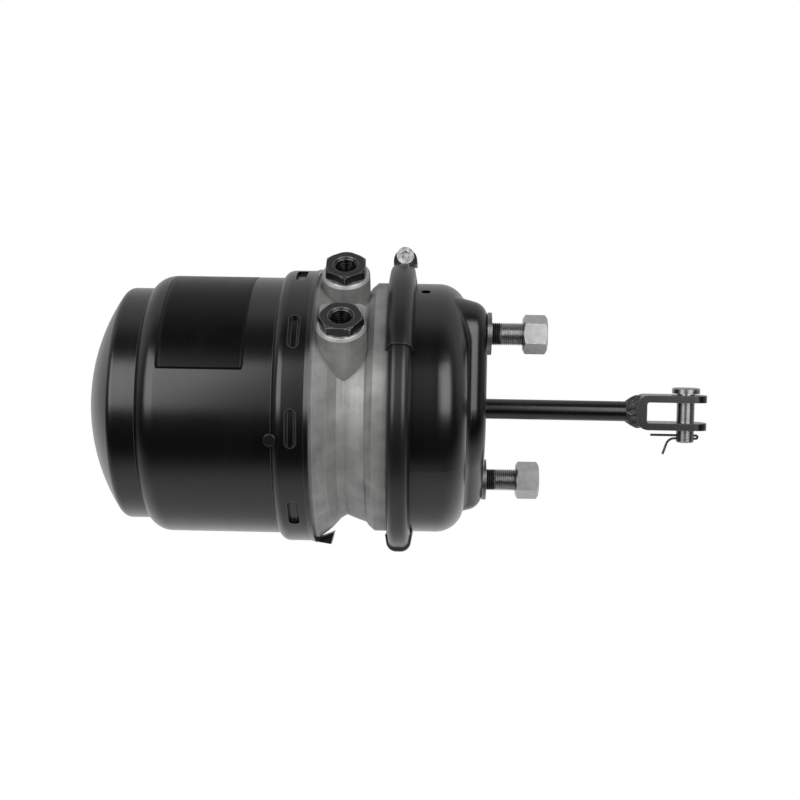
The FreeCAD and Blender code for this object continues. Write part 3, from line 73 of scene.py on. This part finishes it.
def fill(node, inputs):
    """Link sockets to a node's inputs, or set plain values on them."""
    for key, value in inputs.items():
        if isinstance(value, bpy.types.NodeSocket):
            node.id_data.links.new(value, node.inputs[key])
        else:
            node.inputs[key].default_value = value


def add(tree, kind, inputs=None, out=None, **settings):
    """Add a shader node with its settings and inputs; give the output named, or its first one in use."""
    node = tree.nodes.new("ShaderNode" + kind)
    for name, value in settings.items():
        setattr(node, name, value)
    fill(node, inputs or {})
    return node.outputs[out] if out else next((socket for socket in node.outputs if socket.enabled), None)


def new_material(name):
    """An empty material: the material, its tree, its surface shader and the position on the object."""
    material = bpy.data.materials.new(name)
    material.use_nodes = True
    tree = material.node_tree
    return material, tree, tree.nodes["Principled BSDF"], add(tree, "TexCoord", out="Object")


def feature(size_mm):
    """The texture scale whose features are about this many millimetres apart."""
    return 1 / (size_mm * MM)


def banded(along_mm, across_mm):
    """The scales along X and across it of a pattern that runs round the object in bands."""
    return feature(along_mm), feature(across_mm), feature(across_mm)


def edge_wear_and_glint_mask(tree, radius_mm):
    """1 on an edge and 0 on the faces beside it: where a wheel or a wrench rubs the skin off, and where the
    black coat gets a painted glint.
    """
    # Cosines of how far the rounded normal leans where the edge mark starts, and where it is full.
    starts, full = 0.998, 0.95
    rounded = add(tree, "Bevel", {"Radius": radius_mm * MM}, samples=6)
    flat = add(tree, "NewGeometry", out="True Normal")
    turn = add(tree, "VectorMath", {0: rounded, 1: flat}, operation="DOT_PRODUCT")
    return add(tree, "MapRange", {"Value": turn, "From Min": starts, "From Max": full})


def black_coat(name, pale, dull, smooth, rough):
    """Stoved black coat on formed steel: deep and glossy, over the faint rings that the draw left.

    Dust in the coat is some 0.2 mm in size. It is drawn at 1.3 mm, or it would be finer than a pixel.
    """
    material, tree, surface, place = new_material(name)
    peel = add(tree, "TexNoise", {"Vector": place, "Scale": feature(5), "Detail": 2.0})
    drawn = add(tree, "VectorMath", {0: place, 1: banded(4.5, 160)}, operation="MULTIPLY")
    rings = add(tree, "TexNoise", {"Vector": drawn, "Scale": 1.0, "Detail": 3.0})
    cloud = add(tree, "TexNoise", {"Vector": place, "Scale": feature(38), "Detail": 3.0})
    dust = add(tree, "TexNoise", {"Vector": place, "Scale": feature(1.3), "Detail": 3.0})
    speck = add(tree, "MapRange", {"Value": dust, "From Min": 0.70, "From Max": 0.76, "To Max": 0.5})
    coat = add(tree, "Mix", {"Factor": cloud, "A": linear(dull), "B": linear(pale)}, data_type="RGBA")
    coat = add(tree, "Mix", {"Factor": speck, "A": coat, "B": linear("#202021")}, data_type="RGBA")
    # Painted glint: every edge of the black coat is mixed towards grey, standing in for the bright
    # reflections along rims and edges.
    edge_wear_and_glint = edge_wear_and_glint_mask(tree, 0.6)
    coat = add(tree, "Mix", {"Factor": edge_wear_and_glint, "A": coat, "B": linear("#545454")}, data_type="RGBA")
    both = add(tree, "Math", {0: cloud, 1: rings}, operation="ADD")
    haze = add(tree, "Math", {0: both, 1: 0.5}, operation="MULTIPLY")
    gloss = add(tree, "MapRange", {"Value": haze, **NOISE_SPREAD, "To Min": smooth, "To Max": rough})
    relief = add(tree, "Bump", {"Height": rings, "Strength": 0.25, "Distance": 0.05 * MM})
    relief = add(tree, "Bump", {"Height": peel, "Strength": 0.12, "Distance": 0.05 * MM, "Normal": relief})
    fill(surface, {"Base Color": coat, "Roughness": gloss, "Normal": relief, "IOR": 1.55})
    return material


def cast_aluminium():
    """Aluminium from a sand mould: soft grey skin, cloudy, brighter on the faces that a cutter cleaned.

    The sand's grain is some 0.3 mm. It is drawn at 1.8 mm, or it would be finer than a pixel.
    """
    material, tree, surface, place = new_material("sand-cast aluminium")
    grain = add(tree, "TexNoise", {"Vector": place, "Scale": feature(1.8), "Detail": 4.0})
    cloud = add(tree, "TexNoise", {"Vector": place, "Scale": feature(16), "Detail": 4.0})
    poured = add(tree, "VectorMath", {0: place, 1: banded(3, 70)}, operation="MULTIPLY")
    flow = add(tree, "TexNoise", {"Vector": poured, "Scale": 1.0, "Detail": 3.0})
    pits = add(tree, "TexVoronoi", {"Vector": place, "Scale": feature(4.5)})
    cloudy = add(tree, "MapRange", {"Value": cloud, **NOISE_SPREAD})
    skin = add(tree, "Mix", {"Factor": cloudy, "A": linear("#747473"), "B": linear("#999998")},
               data_type="RGBA")
    streak = add(tree, "MapRange", {"Value": flow, **NOISE_SPREAD, "To Max": 0.3})
    skin = add(tree, "Mix", {"Factor": streak, "A": skin, "B": linear("#a8a8a7")}, data_type="RGBA")
    pit = add(tree, "MapRange", {"Value": pits, "From Min": 0.03, "From Max": 0.12,
                                 "To Min": 0.5, "To Max": 0})
    skin = add(tree, "Mix", {"Factor": pit, "A": skin, "B": linear("#5c5c5b")}, data_type="RGBA")
    worn = edge_wear_and_glint_mask(tree, 0.5)
    skin = add(tree, "Mix", {"Factor": worn, "A": skin, "B": linear("#a9a9a8")}, data_type="RGBA")
    # The bosses' faces are cut, and stand further out along the ports' direction than any rough skin.
    height = add(tree, "VectorMath", {0: place, 1: PORT_OUT}, operation="DOT_PRODUCT")
    cut = add(tree, "MapRange", {"Value": height, "From Min": BOSS_FACE - 0.2 * MM,
                                 "From Max": BOSS_FACE - 0.05 * MM})
    skin = add(tree, "Mix", {"Factor": cut, "A": skin, "B": linear("#b4b4b3")}, data_type="RGBA")
    # The part that shows through the can's windows was painted along with the can.
    paint_line, fade = -119.4 * MM, 0.2 * MM
    x = add(tree, "SeparateXYZ", {0: place}, out="X")
    painted = add(tree, "MapRange", {"Value": x, "From Min": paint_line + fade,
                                     "From Max": paint_line - fade})
    skin = add(tree, "Mix", {"Factor": painted, "A": skin, "B": linear("#060606")}, data_type="RGBA")
    bare = add(tree, "MapRange", {"Value": painted, "To Min": 0.45, "To Max": 0})
    rough = add(tree, "MapRange", {"Value": grain, **NOISE_SPREAD, "To Min": 0.44, "To Max": 0.56})
    gloss = add(tree, "Mix", {"Factor": cut, "A": rough, "B": 0.28})
    uncut = add(tree, "Math", {0: 1.0, 1: cut}, operation="SUBTRACT")
    sand = add(tree, "Math", {0: grain, 1: uncut}, operation="MULTIPLY")
    relief = add(tree, "Bump", {"Height": sand, "Strength": 0.3, "Distance": 0.25 * MM})
    fill(surface, {"Base Color": skin, "Metallic": bare, "Roughness": gloss, "Normal": relief})
    return material


def zinc_plated_steel(name, pale, dull, smooth, rough, depth=0.12):
    """Turned or forged steel with a thin zinc coat: bright but soft, faintly mottled, paler on its edges.

    The coat's crystals and the tool's marks are some 0.1 mm. They are drawn at 4 and 0.7 mm, or they
    would be finer than a pixel.
    """
    material, tree, surface, place = new_material(name)
    mottle = add(tree, "TexNoise", {"Vector": place, "Scale": feature(4), "Detail": 5.0})
    marks = add(tree, "TexNoise", {"Vector": place, "Scale": feature(0.7), "Detail": 3.0})
    mottled = add(tree, "MapRange", {"Value": mottle, **NOISE_SPREAD})
    skin = add(tree, "Mix", {"Factor": mottled, "A": linear(dull), "B": linear(pale)}, data_type="RGBA")
    worn = edge_wear_and_glint_mask(tree, 0.4)
    skin = add(tree, "Mix", {"Factor": worn, "A": skin, "B": linear("#dededd")}, data_type="RGBA")
    gloss = add(tree, "MapRange", {"Value": marks, **NOISE_SPREAD, "To Min": smooth, "To Max": rough})
    relief = add(tree, "Bump", {"Height": marks, "Strength": depth, "Distance": 0.05 * MM})
    fill(surface, {"Base Color": skin, "Roughness": gloss, "Metallic": 1.0, "Normal": relief})
    return material


def black_oxide_steel():
    """Blackened machined steel: a thin dark film with a soft shine, worn to bright metal on its edges.

    The tool's marks are some 0.1 mm. They are drawn at 0.9 mm, or they would be finer than a pixel.
    """
    material, tree, surface, place = new_material("black oxide steel")
    cloud = add(tree, "TexNoise", {"Vector": place, "Scale": feature(4), "Detail": 4.0})
    marks = add(tree, "TexNoise", {"Vector": place, "Scale": feature(0.9), "Detail": 3.0})
    cloudy = add(tree, "MapRange", {"Value": cloud, **NOISE_SPREAD})
    film = add(tree, "Mix", {"Factor": cloudy, "A": linear("#0c0c0c"), "B": linear("#171717")},
               data_type="RGBA")
    broken = add(tree, "MapRange", {"Value": marks, **NOISE_SPREAD, "To Min": 0.5, "To Max": 1})
    edge_wear_and_glint = add(tree, "Math", {0: edge_wear_and_glint_mask(tree, 0.35), 1: broken}, operation="MULTIPLY")
    skin = add(tree, "Mix", {"Factor": edge_wear_and_glint, "A": film, "B": linear("#c8c8c8")}, data_type="RGBA")
    gloss = add(tree, "MapRange", {"Value": cloud, **NOISE_SPREAD, "To Min": 0.30, "To Max": 0.42})
    bare = add(tree, "MapRange", {"Value": edge_wear_and_glint, "To Min": 0.2, "To Max": 0.95})
    relief = add(tree, "Bump", {"Height": marks, "Strength": 0.15, "Distance": 0.05 * MM})
    fill(surface, {"Base Color": skin, "Roughness": gloss, "Metallic": bare, "Normal": relief})
    return material


def oxide_thread_with_painted_shade():
    """Black oxide inside the port, coloured darker than the adapter's own film as painted shade down the
    bore, with an oily shine.
    """
    material, tree, surface, place = new_material("black oxide thread with painted shade")
    cloud = add(tree, "TexNoise", {"Vector": place, "Scale": feature(2.5), "Detail": 3.0})
    # Painted shade: the thread is near black, darker than the adapter's own oxide, for the shade inside the
    # bore.
    film = add(tree, "Mix", {"Factor": cloud, "A": linear("#020202"), "B": linear("#070707")},
               data_type="RGBA")
    gloss = add(tree, "MapRange", {"Value": cloud, **NOISE_SPREAD, "To Min": 0.20, "To Max": 0.28})
    fill(surface, {"Base Color": film, "Roughness": gloss})
    return material


def painted_weld():
    """Weld bead under black paint: frozen ripples, a little soot and spatter."""
    material, tree, surface, place = new_material("painted weld bead")
    ripple = add(tree, "TexNoise", {"Vector": place, "Scale": feature(1.4), "Detail": 5.0})
    spatter = add(tree, "TexVoronoi", {"Vector": place, "Scale": feature(1.7)})
    soot = add(tree, "MapRange", {"Value": ripple, **NOISE_SPREAD})
    skin = add(tree, "Mix", {"Factor": soot, "A": linear("#0a0a0a"), "B": linear("#303030")},
               data_type="RGBA")
    drop = add(tree, "MapRange", {"Value": spatter, "From Min": 0.16, "From Max": 0.24,
                                  "To Min": 0.8, "To Max": 0})
    skin = add(tree, "Mix", {"Factor": drop, "A": skin, "B": linear("#8c8c8c")}, data_type="RGBA")
    gloss = add(tree, "MapRange", {"Value": ripple, **NOISE_SPREAD, "To Min": 0.30, "To Max": 0.50})
    relief = add(tree, "Bump", {"Height": ripple, "Strength": 0.7, "Distance": 0.5 * MM})
    fill(surface, {"Base Color": skin, "Roughness": gloss, "Normal": relief})
    return material


def moulded_rubber():
    """Moulded black rubber: dull, with a fine grain from the mould, drawn at 0.8 mm so that it shows."""
    material, tree, surface, place = new_material("moulded rubber")
    grain = add(tree, "TexNoise", {"Vector": place, "Scale": feature(0.8), "Detail": 3.0})
    skin = add(tree, "Mix", {"Factor": grain, "A": linear("#111111"), "B": linear("#1d1d1c")},
               data_type="RGBA")
    relief = add(tree, "Bump", {"Height": grain, "Strength": 0.2, "Distance": 0.08 * MM})
    fill(surface, {"Base Color": skin, "Roughness": 0.75, "Normal": relief})
    return material


def moulded_nylon():
    """Moulded black nylon: an even, slightly waxy surface, a little cloudy where the melt flowed."""
    material, tree, surface, place = new_material("moulded nylon")
    cloud = add(tree, "TexNoise", {"Vector": place, "Scale": feature(6), "Detail": 2.0})
    skin = add(tree, "Mix", {"Factor": cloud, "A": linear("#0a0a0a"), "B": linear("#101010")},
               data_type="RGBA")
    fill(surface, {"Base Color": skin, "Roughness": 0.36, "IOR": 1.4})
    return material


def vinyl_film():
    """Bare black vinyl film: smoother and darker than the coat round it, with a few dried drops on it."""
    material, tree, surface, place = new_material("black vinyl film")
    wave = add(tree, "TexNoise", {"Vector": place, "Scale": feature(9), "Detail": 2.0})
    drops = add(tree, "TexVoronoi", {"Vector": place, "Scale": feature(13)})
    drop = add(tree, "MapRange", {"Value": drops, "From Min": 0.10, "From Max": 0.14,
                                  "To Min": 0.6, "To Max": 0})
    film = add(tree, "Mix", {"Factor": wave, "A": linear("#040404"), "B": linear("#080808")},
               data_type="RGBA")
    film = add(tree, "Mix", {"Factor": drop, "A": film, "B": linear("#1a1a1a")}, data_type="RGBA")
    gloss = add(tree, "MapRange", {"Value": wave, **NOISE_SPREAD, "To Min": 0.30, "To Max": 0.36})
    fill(surface, {"Base Color": film, "Roughness": gloss, "IOR": 1.25})
    return material


def oversprayed_thread():
    """Zinc plated thread whose root end caught the black spray of the bowl, up to a ragged line."""
    spray_end, fade = 10.2 * MM, 1.6 * MM
    material, tree, surface, place = new_material("zinc plated thread with black overspray")
    mottle = add(tree, "TexNoise", {"Vector": place, "Scale": feature(2.5), "Detail": 5.0})
    x = add(tree, "SeparateXYZ", {0: place}, out="X")
    ragged = add(tree, "Math", {0: mottle, 1: 2 * fade, 2: x}, operation="MULTIPLY_ADD")
    bare = add(tree, "MapRange", {"Value": ragged, "From Min": spray_end, "From Max": spray_end + fade})
    metal = add(tree, "Mix", {"Factor": mottle, "A": linear("#7f7f7e"), "B": linear("#a9a9a8")},
                data_type="RGBA")
    skin = add(tree, "Mix", {"Factor": bare, "A": linear("#040404"), "B": metal}, data_type="RGBA")
    gloss = add(tree, "MapRange", {"Value": bare, "To Min": 0.6, "To Max": 0.34})
    fill(surface, {"Base Color": skin, "Metallic": bare, "Roughness": gloss})
    return material


drawn_enamel = black_coat("stoved black enamel on drawn steel", "#090909", "#040404", 0.23, 0.28)
strip_enamel = black_coat("black enamel on pressed strip", "#0d0d0d", "#080808", 0.30, 0.38)
forged_phosphate = black_coat("black phosphate on forged steel", "#0e0e0e", "#070707", 0.22, 0.28)
aluminium = cast_aluminium()
nut_zinc = zinc_plated_steel("bright zinc plated steel", "#bababa", "#aaaaaa", 0.28, 0.34, 0.05)
pin_zinc = zinc_plated_steel("turned zinc plated steel", "#969695", "#8a8a89", 0.26, 0.32, 0.02)
screw_zinc = zinc_plated_steel("bright zinc plated screw steel", "#dcdcdb", "#7a7a79", 0.34, 0.42, 0.02)
washer_zinc = zinc_plated_steel("dull zinc plated steel", "#8a8a89", "#6e6e6d", 0.34, 0.44)
spring_steel = zinc_plated_steel("phosphated steel", "#3a3a3a", "#2a2a2a", 0.32, 0.42)
adapter_oxide = black_oxide_steel()
shaded_thread_oxide = oxide_thread_with_painted_shade()
rubber = moulded_rubber()
nylon = moulded_nylon()

FINISHES = {
    drawn_enamel: ("spring_housing", "service_housing", "lock_ring", "push_rod"),
    strip_enamel: ("clamp_ring_near", "clamp_ring_far", "clamp_link", "clamp_saddle_near",
                   "clamp_saddle_far"),
    aluminium: ("port_casting", "parking_piston"),
    nut_zinc: ("nut_upper", "nut_lower", "clamp_nut", "release_bolt"),
    pin_zinc: ("clevis_pin",),
    screw_zinc: ("clamp_screw", "port_seal_upper", "port_seal_lower"),
    washer_zinc: ("washer_upper", "washer_lower"),
    forged_phosphate: ("clevis",),
    spring_steel: ("push_plate", "push_tube", "power_spring", "return_spring", "split_pin"),
    adapter_oxide: ("port_adapter_upper", "port_adapter_lower", "release_insert"),
    rubber: ("main_seal", "diaphragm", "tube_seal", "piston_seal"),
    nylon: ("vent_plug", "dust_guard", "tube_bush", "piston_guide", "tube_cap"),
}
for finish, names in FINISHES.items():
    for name in names:
        for place in nodes[name].material_slots:
            place.material = finish


def new_piece(name, points, faces, material, body):
    """A smooth mesh that rides on a body and takes the finish that it is given."""
    mesh = bpy.data.meshes.new(name)
    mesh.from_pydata(points, [], faces)
    mesh.validate()
    mesh.materials.append(material)
    piece = bpy.data.objects.new(name, mesh)
    bpy.context.scene.collection.objects.link(piece)
    mesh.shade_smooth()
    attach(piece, body)
    return piece


def turned_skin(stations, radius_at, around, closed=True):
    """Points and faces of a skin round the X axis; its radius depends on the place along it and the angle."""
    points = []
    for x in stations:
        for step in range(around):
            angle = 2 * math.pi * step / around
            radius = radius_at(x, angle)
            points.append(Vector((x, radius * math.cos(angle), radius * math.sin(angle))))
    faces = []
    for ring in range(len(stations) - 1):
        for step in range(around):
            a, b = ring * around + step, ring * around + (step + 1) % around
            faces.append((a, a + around, b + around, b))
    if closed:
        faces.append(tuple(range(around)))
        faces.append(tuple(reversed(range(len(points) - around, len(points)))))
    return points, faces


def spaced(start, end, step):
    """Places from start to end, about a step apart."""
    count = max(2, round((end - start) / step) + 1)
    return [start + (end - start) * i / (count - 1) for i in range(count)]


def ridge(x, angle):
    """Height of a thread's flank, from 0 in the root to 1 on the crest, with both a little flattened."""
    phase = (x / THREAD_PITCH - angle / (2 * math.pi)) % 1.0
    return min(1.0, max(0.0, 2.2 * (1 - abs(2 * phase - 1)) - 0.6))


# Steps of a thread's mesh: along it, and round it.
THREAD_STEP = 0.25 * MM
THREAD_AROUND = 72


def stud(node, bearing, material):
    """Mounting stud with its thread cut: head inside the bowl, seat in the wall, thread outside."""
    head, wall, hair, neck, thread = 7.2 * MM, 2.7 * MM, 0.01 * MM, 2.6 * MM, 3.0 * MM
    nut, end, chamfer = 24.9 * MM, 41.0 * MM, 0.8 * MM
    head_radius, seat_radius, root_radius, nut_radius = 11.5 * MM, 8.2 * MM, 7.2 * MM, 7.15 * MM
    tooth, chamfer_drop = 0.78 * MM, 0.7 * MM
    plain = {-head: head_radius, -wall - hair: head_radius, -wall: seat_radius, -hair: seat_radius,
             0.0: root_radius, neck: root_radius}

    def radius_at(x, angle):
        if x in plain:
            return plain[x]
        if x >= nut:
            return nut_radius - (1 - min(1.0, (end - x) / chamfer)) * chamfer_drop
        return root_radius + tooth * ridge(x, angle)

    stations = list(plain) + spaced(thread, nut - 0.1 * MM, THREAD_STEP) + [nut, end - chamfer, end]
    points, faces = turned_skin(stations, radius_at, THREAD_AROUND)
    turn = math.radians(bearing)
    shift = Vector((0, -math.sin(turn) * STUD_CIRCLE, math.cos(turn) * STUD_CIRCLE))
    piece = new_piece(node + "_threaded", [p + shift for p in points], faces, material, "housing")
    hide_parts(node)


def port_thread(name, side):
    """Thread ridges inside an air port, on the side of +1 or -1 along the line that joins the ports."""
    depth, wall, tooth, run_out, sunk = 13 * MM, 7.22 * MM, 0.42 * MM, 2 * MM, 1.6 * MM

    def radius_at(x, angle):
        fade = min(1.0, x / run_out, (depth - x) / run_out)
        return wall - tooth * max(0.0, fade) * ridge(x, angle)

    points, faces = turned_skin(spaced(0, depth, THREAD_STEP), radius_at, THREAD_AROUND, closed=False)
    face = BOSS_FACE + SEAL_THICKNESS + ADAPTER_THICKNESS
    mouth = X_AXIS * PORT_PLACE + PORT_OUT * (face - sunk) + PORT_ALONG * side * PORT_OFFSET
    turn = Matrix((-PORT_OUT, X_AXIS, -PORT_OUT.cross(X_AXIS))).transposed()
    # The faces are turned over, so that they look into the bore.
    new_piece(name, [mouth + turn @ p for p in points], [f[::-1] for f in faces], shaded_thread_oxide, "housing")


def weld():
    """Hand-laid fillet weld: lumps and ripples from the rod up to the back of the clevis."""
    start, end, rise = 101.6 * MM, 113.2 * MM, 4.5 * MM

    def radius_at(x, angle):
        share = (x - start) / (end - start)
        bead = ROD_RADIUS + rise * min(1.0, share * 1.35) ** 0.8
        ripple = 0.38 * MM * math.sin(19 * angle + 2.2 * math.sin(3 * angle) + 6 * share)
        lump = 0.42 * MM * math.sin(5 * angle + 1.1) + 0.28 * MM * math.sin(11 * angle + 8 * share)
        return bead + (ripple + lump) * min(1.0, 3 * share) * min(1.0, 2.5 * (1.05 - share))

    points, faces = turned_skin(spaced(start, end, 0.4 * MM), radius_at, 180)
    piece = new_piece("weld_bead", points, faces, painted_weld(), "push_rod")
    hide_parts("rod_weld")


def label():
    """Bare film on the can, over its top, with its corners rounded and its edge lifted a hair."""
    rear, front, low, high = -223.0 * MM, -164.0 * MM, math.radians(14.6), math.radians(112.0)
    thickness, corner = 0.12 * MM, 0.8 * MM
    radius = BARREL_RADIUS + thickness
    rows, columns = 60, 16
    points, faces = [], []
    for row in range(rows + 1):
        angle = low + (high - low) * row / rows
        edge = min(row, rows - row) / rows * (high - low) * radius
        inset = corner - math.sqrt(max(0.0, corner ** 2 - max(0.0, corner - edge) ** 2))
        for column in range(columns + 1):
            x = rear + inset + (front - rear - 2 * inset) * column / columns
            points.append((x, -radius * math.cos(angle), radius * math.sin(angle)))
    for row in range(rows):
        for column in range(columns):
            a = row * (columns + 1) + column
            faces.append((a, a + 1, a + columns + 2, a + columns + 1))
    piece = new_piece("label_film", points, faces, vinyl_film(), "housing")
    solid = piece.modifiers.new("thickness", "SOLIDIFY")
    solid.thickness = thickness
    solid.offset = -1


def cast_rim():
    """Low rounded rib that the mould left round the end of the boss's tab."""
    forward, down = 10.6 * MM, 12.5 * MM
    half_wide, half_long, corner, thick = 3.7 * MM, 6.4 * MM, 3.2 * MM, 0.42 * MM
    corner_steps, around = 8, 10
    centre = X_AXIS * (PORT_PLACE + forward) + PORT_OUT * TAB_FACE - PORT_ALONG * down
    points, faces = [], []
    for quarter, (side, end) in enumerate(((1, 1), (-1, 1), (-1, -1), (1, -1))):
        for step in range(corner_steps + 1):
            angle = math.radians(90 * quarter + 90 * step / corner_steps)
            across = side * (half_wide - corner) + corner * math.cos(angle)
            length = end * (half_long - corner) + corner * math.sin(angle)
            outward = X_AXIS * math.cos(angle) + PORT_ALONG * math.sin(angle)
            middle = centre + X_AXIS * across + PORT_ALONG * length
            for turn in (2 * math.pi * i / around for i in range(around)):
                points.append(middle + (outward * math.cos(turn) + PORT_OUT * math.sin(turn)) * thick)
    rings = len(points) // around
    for ring in range(rings):
        for step in range(around):
            a, b = ring * around + step, ring * around + (step + 1) % around
            c, d = (ring + 1) % rings * around + step, (ring + 1) % rings * around + (step + 1) % around
            faces.append((a, c, d, b))
    new_piece("cast_rim", points, faces, aluminium, "housing")


stud_zinc = oversprayed_thread()
stud("stud_upper", STUD_TILT, stud_zinc)
stud("stud_lower", STUD_TILT + 180, stud_zinc)
port_thread("port_thread_upper", 1)
port_thread("port_thread_lower", -1)
weld()
label()
cast_rim()


def camera():
    """The photograph's view: from the side, a metre away, rolled so that the clevis end sits lower."""
    aim, distance = Vector((-61.3 * MM, 0, 5.2 * MM)), 1.0
    swing, roll = math.radians(1.5), math.radians(1.05)
    data = bpy.data.cameras.new("photo camera")
    data.sensor_width = 36
    data.lens = 61.9
    back = Vector((math.sin(swing), -math.cos(swing), 0))
    view = bpy.data.objects.new("photo camera", data)
    view.location = aim + back * distance
    view.rotation_mode = "QUATERNION"
    view.rotation_quaternion = (-back).to_track_quat("-Z", "Y") @ Quaternion((0, 0, 1), roll)
    bpy.context.scene.collection.objects.link(view)
    bpy.context.scene.camera = view


# The middle of the part, which the lamps face and the floor lies under.
MIDDLE = Vector((-0.06, 0, 0))


def softbox(name, bearing, power):
    """A large soft lamp that faces the part; the bearing runs from the camera's side towards the clevis."""
    elevation, distance, width, height = 16, 1.4, 1.0, 1.08
    turn, lift = math.radians(bearing), math.radians(elevation)
    out = Vector((math.sin(turn) * math.cos(lift), -math.cos(turn) * math.cos(lift), math.sin(lift)))
    data = bpy.data.lights.new(name, "AREA")
    data.shape = "RECTANGLE"
    data.size = width
    data.size_y = height
    data.energy = power
    lamp = bpy.data.objects.new(name, data)
    lamp.location = MIDDLE + out * distance
    lamp.rotation_mode = "QUATERNION"
    lamp.rotation_quaternion = (-out).to_track_quat("-Z", "Y")
    bpy.context.scene.collection.objects.link(lamp)


def surroundings():
    """White to the eye; gloss sees a pale table and backdrop, and a dark room on the camera's side."""
    world = bpy.data.worlds.new("studio")
    bpy.context.scene.world = world
    world.use_nodes = True
    tree = world.node_tree
    tree.nodes.clear()
    towards = add(tree, "TexCoord", out="Generated")
    away = add(tree, "SeparateXYZ", {0: towards}, out="Y")
    up = add(tree, "SeparateXYZ", {0: towards}, out="Z")
    # Below the horizon the table grows paler away from the camera and straight down.
    down = add(tree, "MapRange", {"Value": up, "From Min": 0, "From Max": -1, "To Max": 1.1})
    table = add(tree, "Math", {0: away, 1: down}, operation="ADD")
    low = add(tree, "MapRange", {"Value": table, "From Min": 0.1, "From Max": 1.1, "To Min": 0.01,
                                 "To Max": 0.95}, interpolation_type="SMOOTHSTEP")
    # Above it the backdrop grows paler away from the camera.
    high = add(tree, "MapRange", {"Value": away, "From Min": -0.5, "From Max": 0.05, "To Min": 0.02,
                                  "To Max": 0.66}, interpolation_type="SMOOTHSTEP")
    upper = add(tree, "MapRange", {"Value": up, "From Min": -0.2, "From Max": 0.2})
    room = add(tree, "Mix", {"Factor": upper, "A": low, "B": high})
    # Matt faces get an even level, and the camera sees plain white.
    glossy = add(tree, "LightPath", out="Is Glossy Ray")
    through = add(tree, "LightPath", out="Is Transmission Ray")
    reflected = add(tree, "Math", {0: glossy, 1: through}, operation="MAXIMUM")
    level = add(tree, "Mix", {"Factor": reflected, "A": 0.3, "B": room})
    seen = add(tree, "LightPath", out="Is Camera Ray")
    level = add(tree, "Mix", {"Factor": seen, "A": level, "B": 1.0})
    glow = add(tree, "Background", {"Color": linear("#ffffff"), "Strength": level})
    add(tree, "OutputWorld", {"Surface": glow})


def floor():
    """Pale round floor well below the part, fading out at its edge."""
    around, radius, drop, strongest = 96, 0.62, 0.6, 0.7
    angles = [2 * math.pi * i / around for i in range(around)]
    points = [(0, 0, 0)] + [(radius * math.cos(angle), radius * math.sin(angle), 0) for angle in angles]
    faces = [(0, i + 1, (i + 1) % around + 1) for i in range(around)]
    material, tree, surface, place = new_material("pale studio floor")
    reach = add(tree, "VectorMath", {0: place}, operation="LENGTH")
    fade = add(tree, "MapRange", {"Value": reach, "From Min": 0.4 * radius, "From Max": radius,
                                  "To Min": strongest, "To Max": 0.0}, interpolation_type="SMOOTHSTEP")
    fill(surface, {"Base Color": linear("#f1f1f1"), "Roughness": 0.9, "Alpha": fade})
    mesh = bpy.data.meshes.new("floor")
    mesh.from_pydata(points, [], faces)
    mesh.materials.append(material)
    ground = bpy.data.objects.new("floor", mesh)
    ground.location = MIDDLE - Vector((0, 0, drop))
    bpy.context.scene.collection.objects.link(ground)


camera()
surroundings()
floor()
softbox("left softbox", -34, 12.5)
softbox("right softbox", 31, 14)
bpy.context.scene.view_settings.view_transform = "Standard"
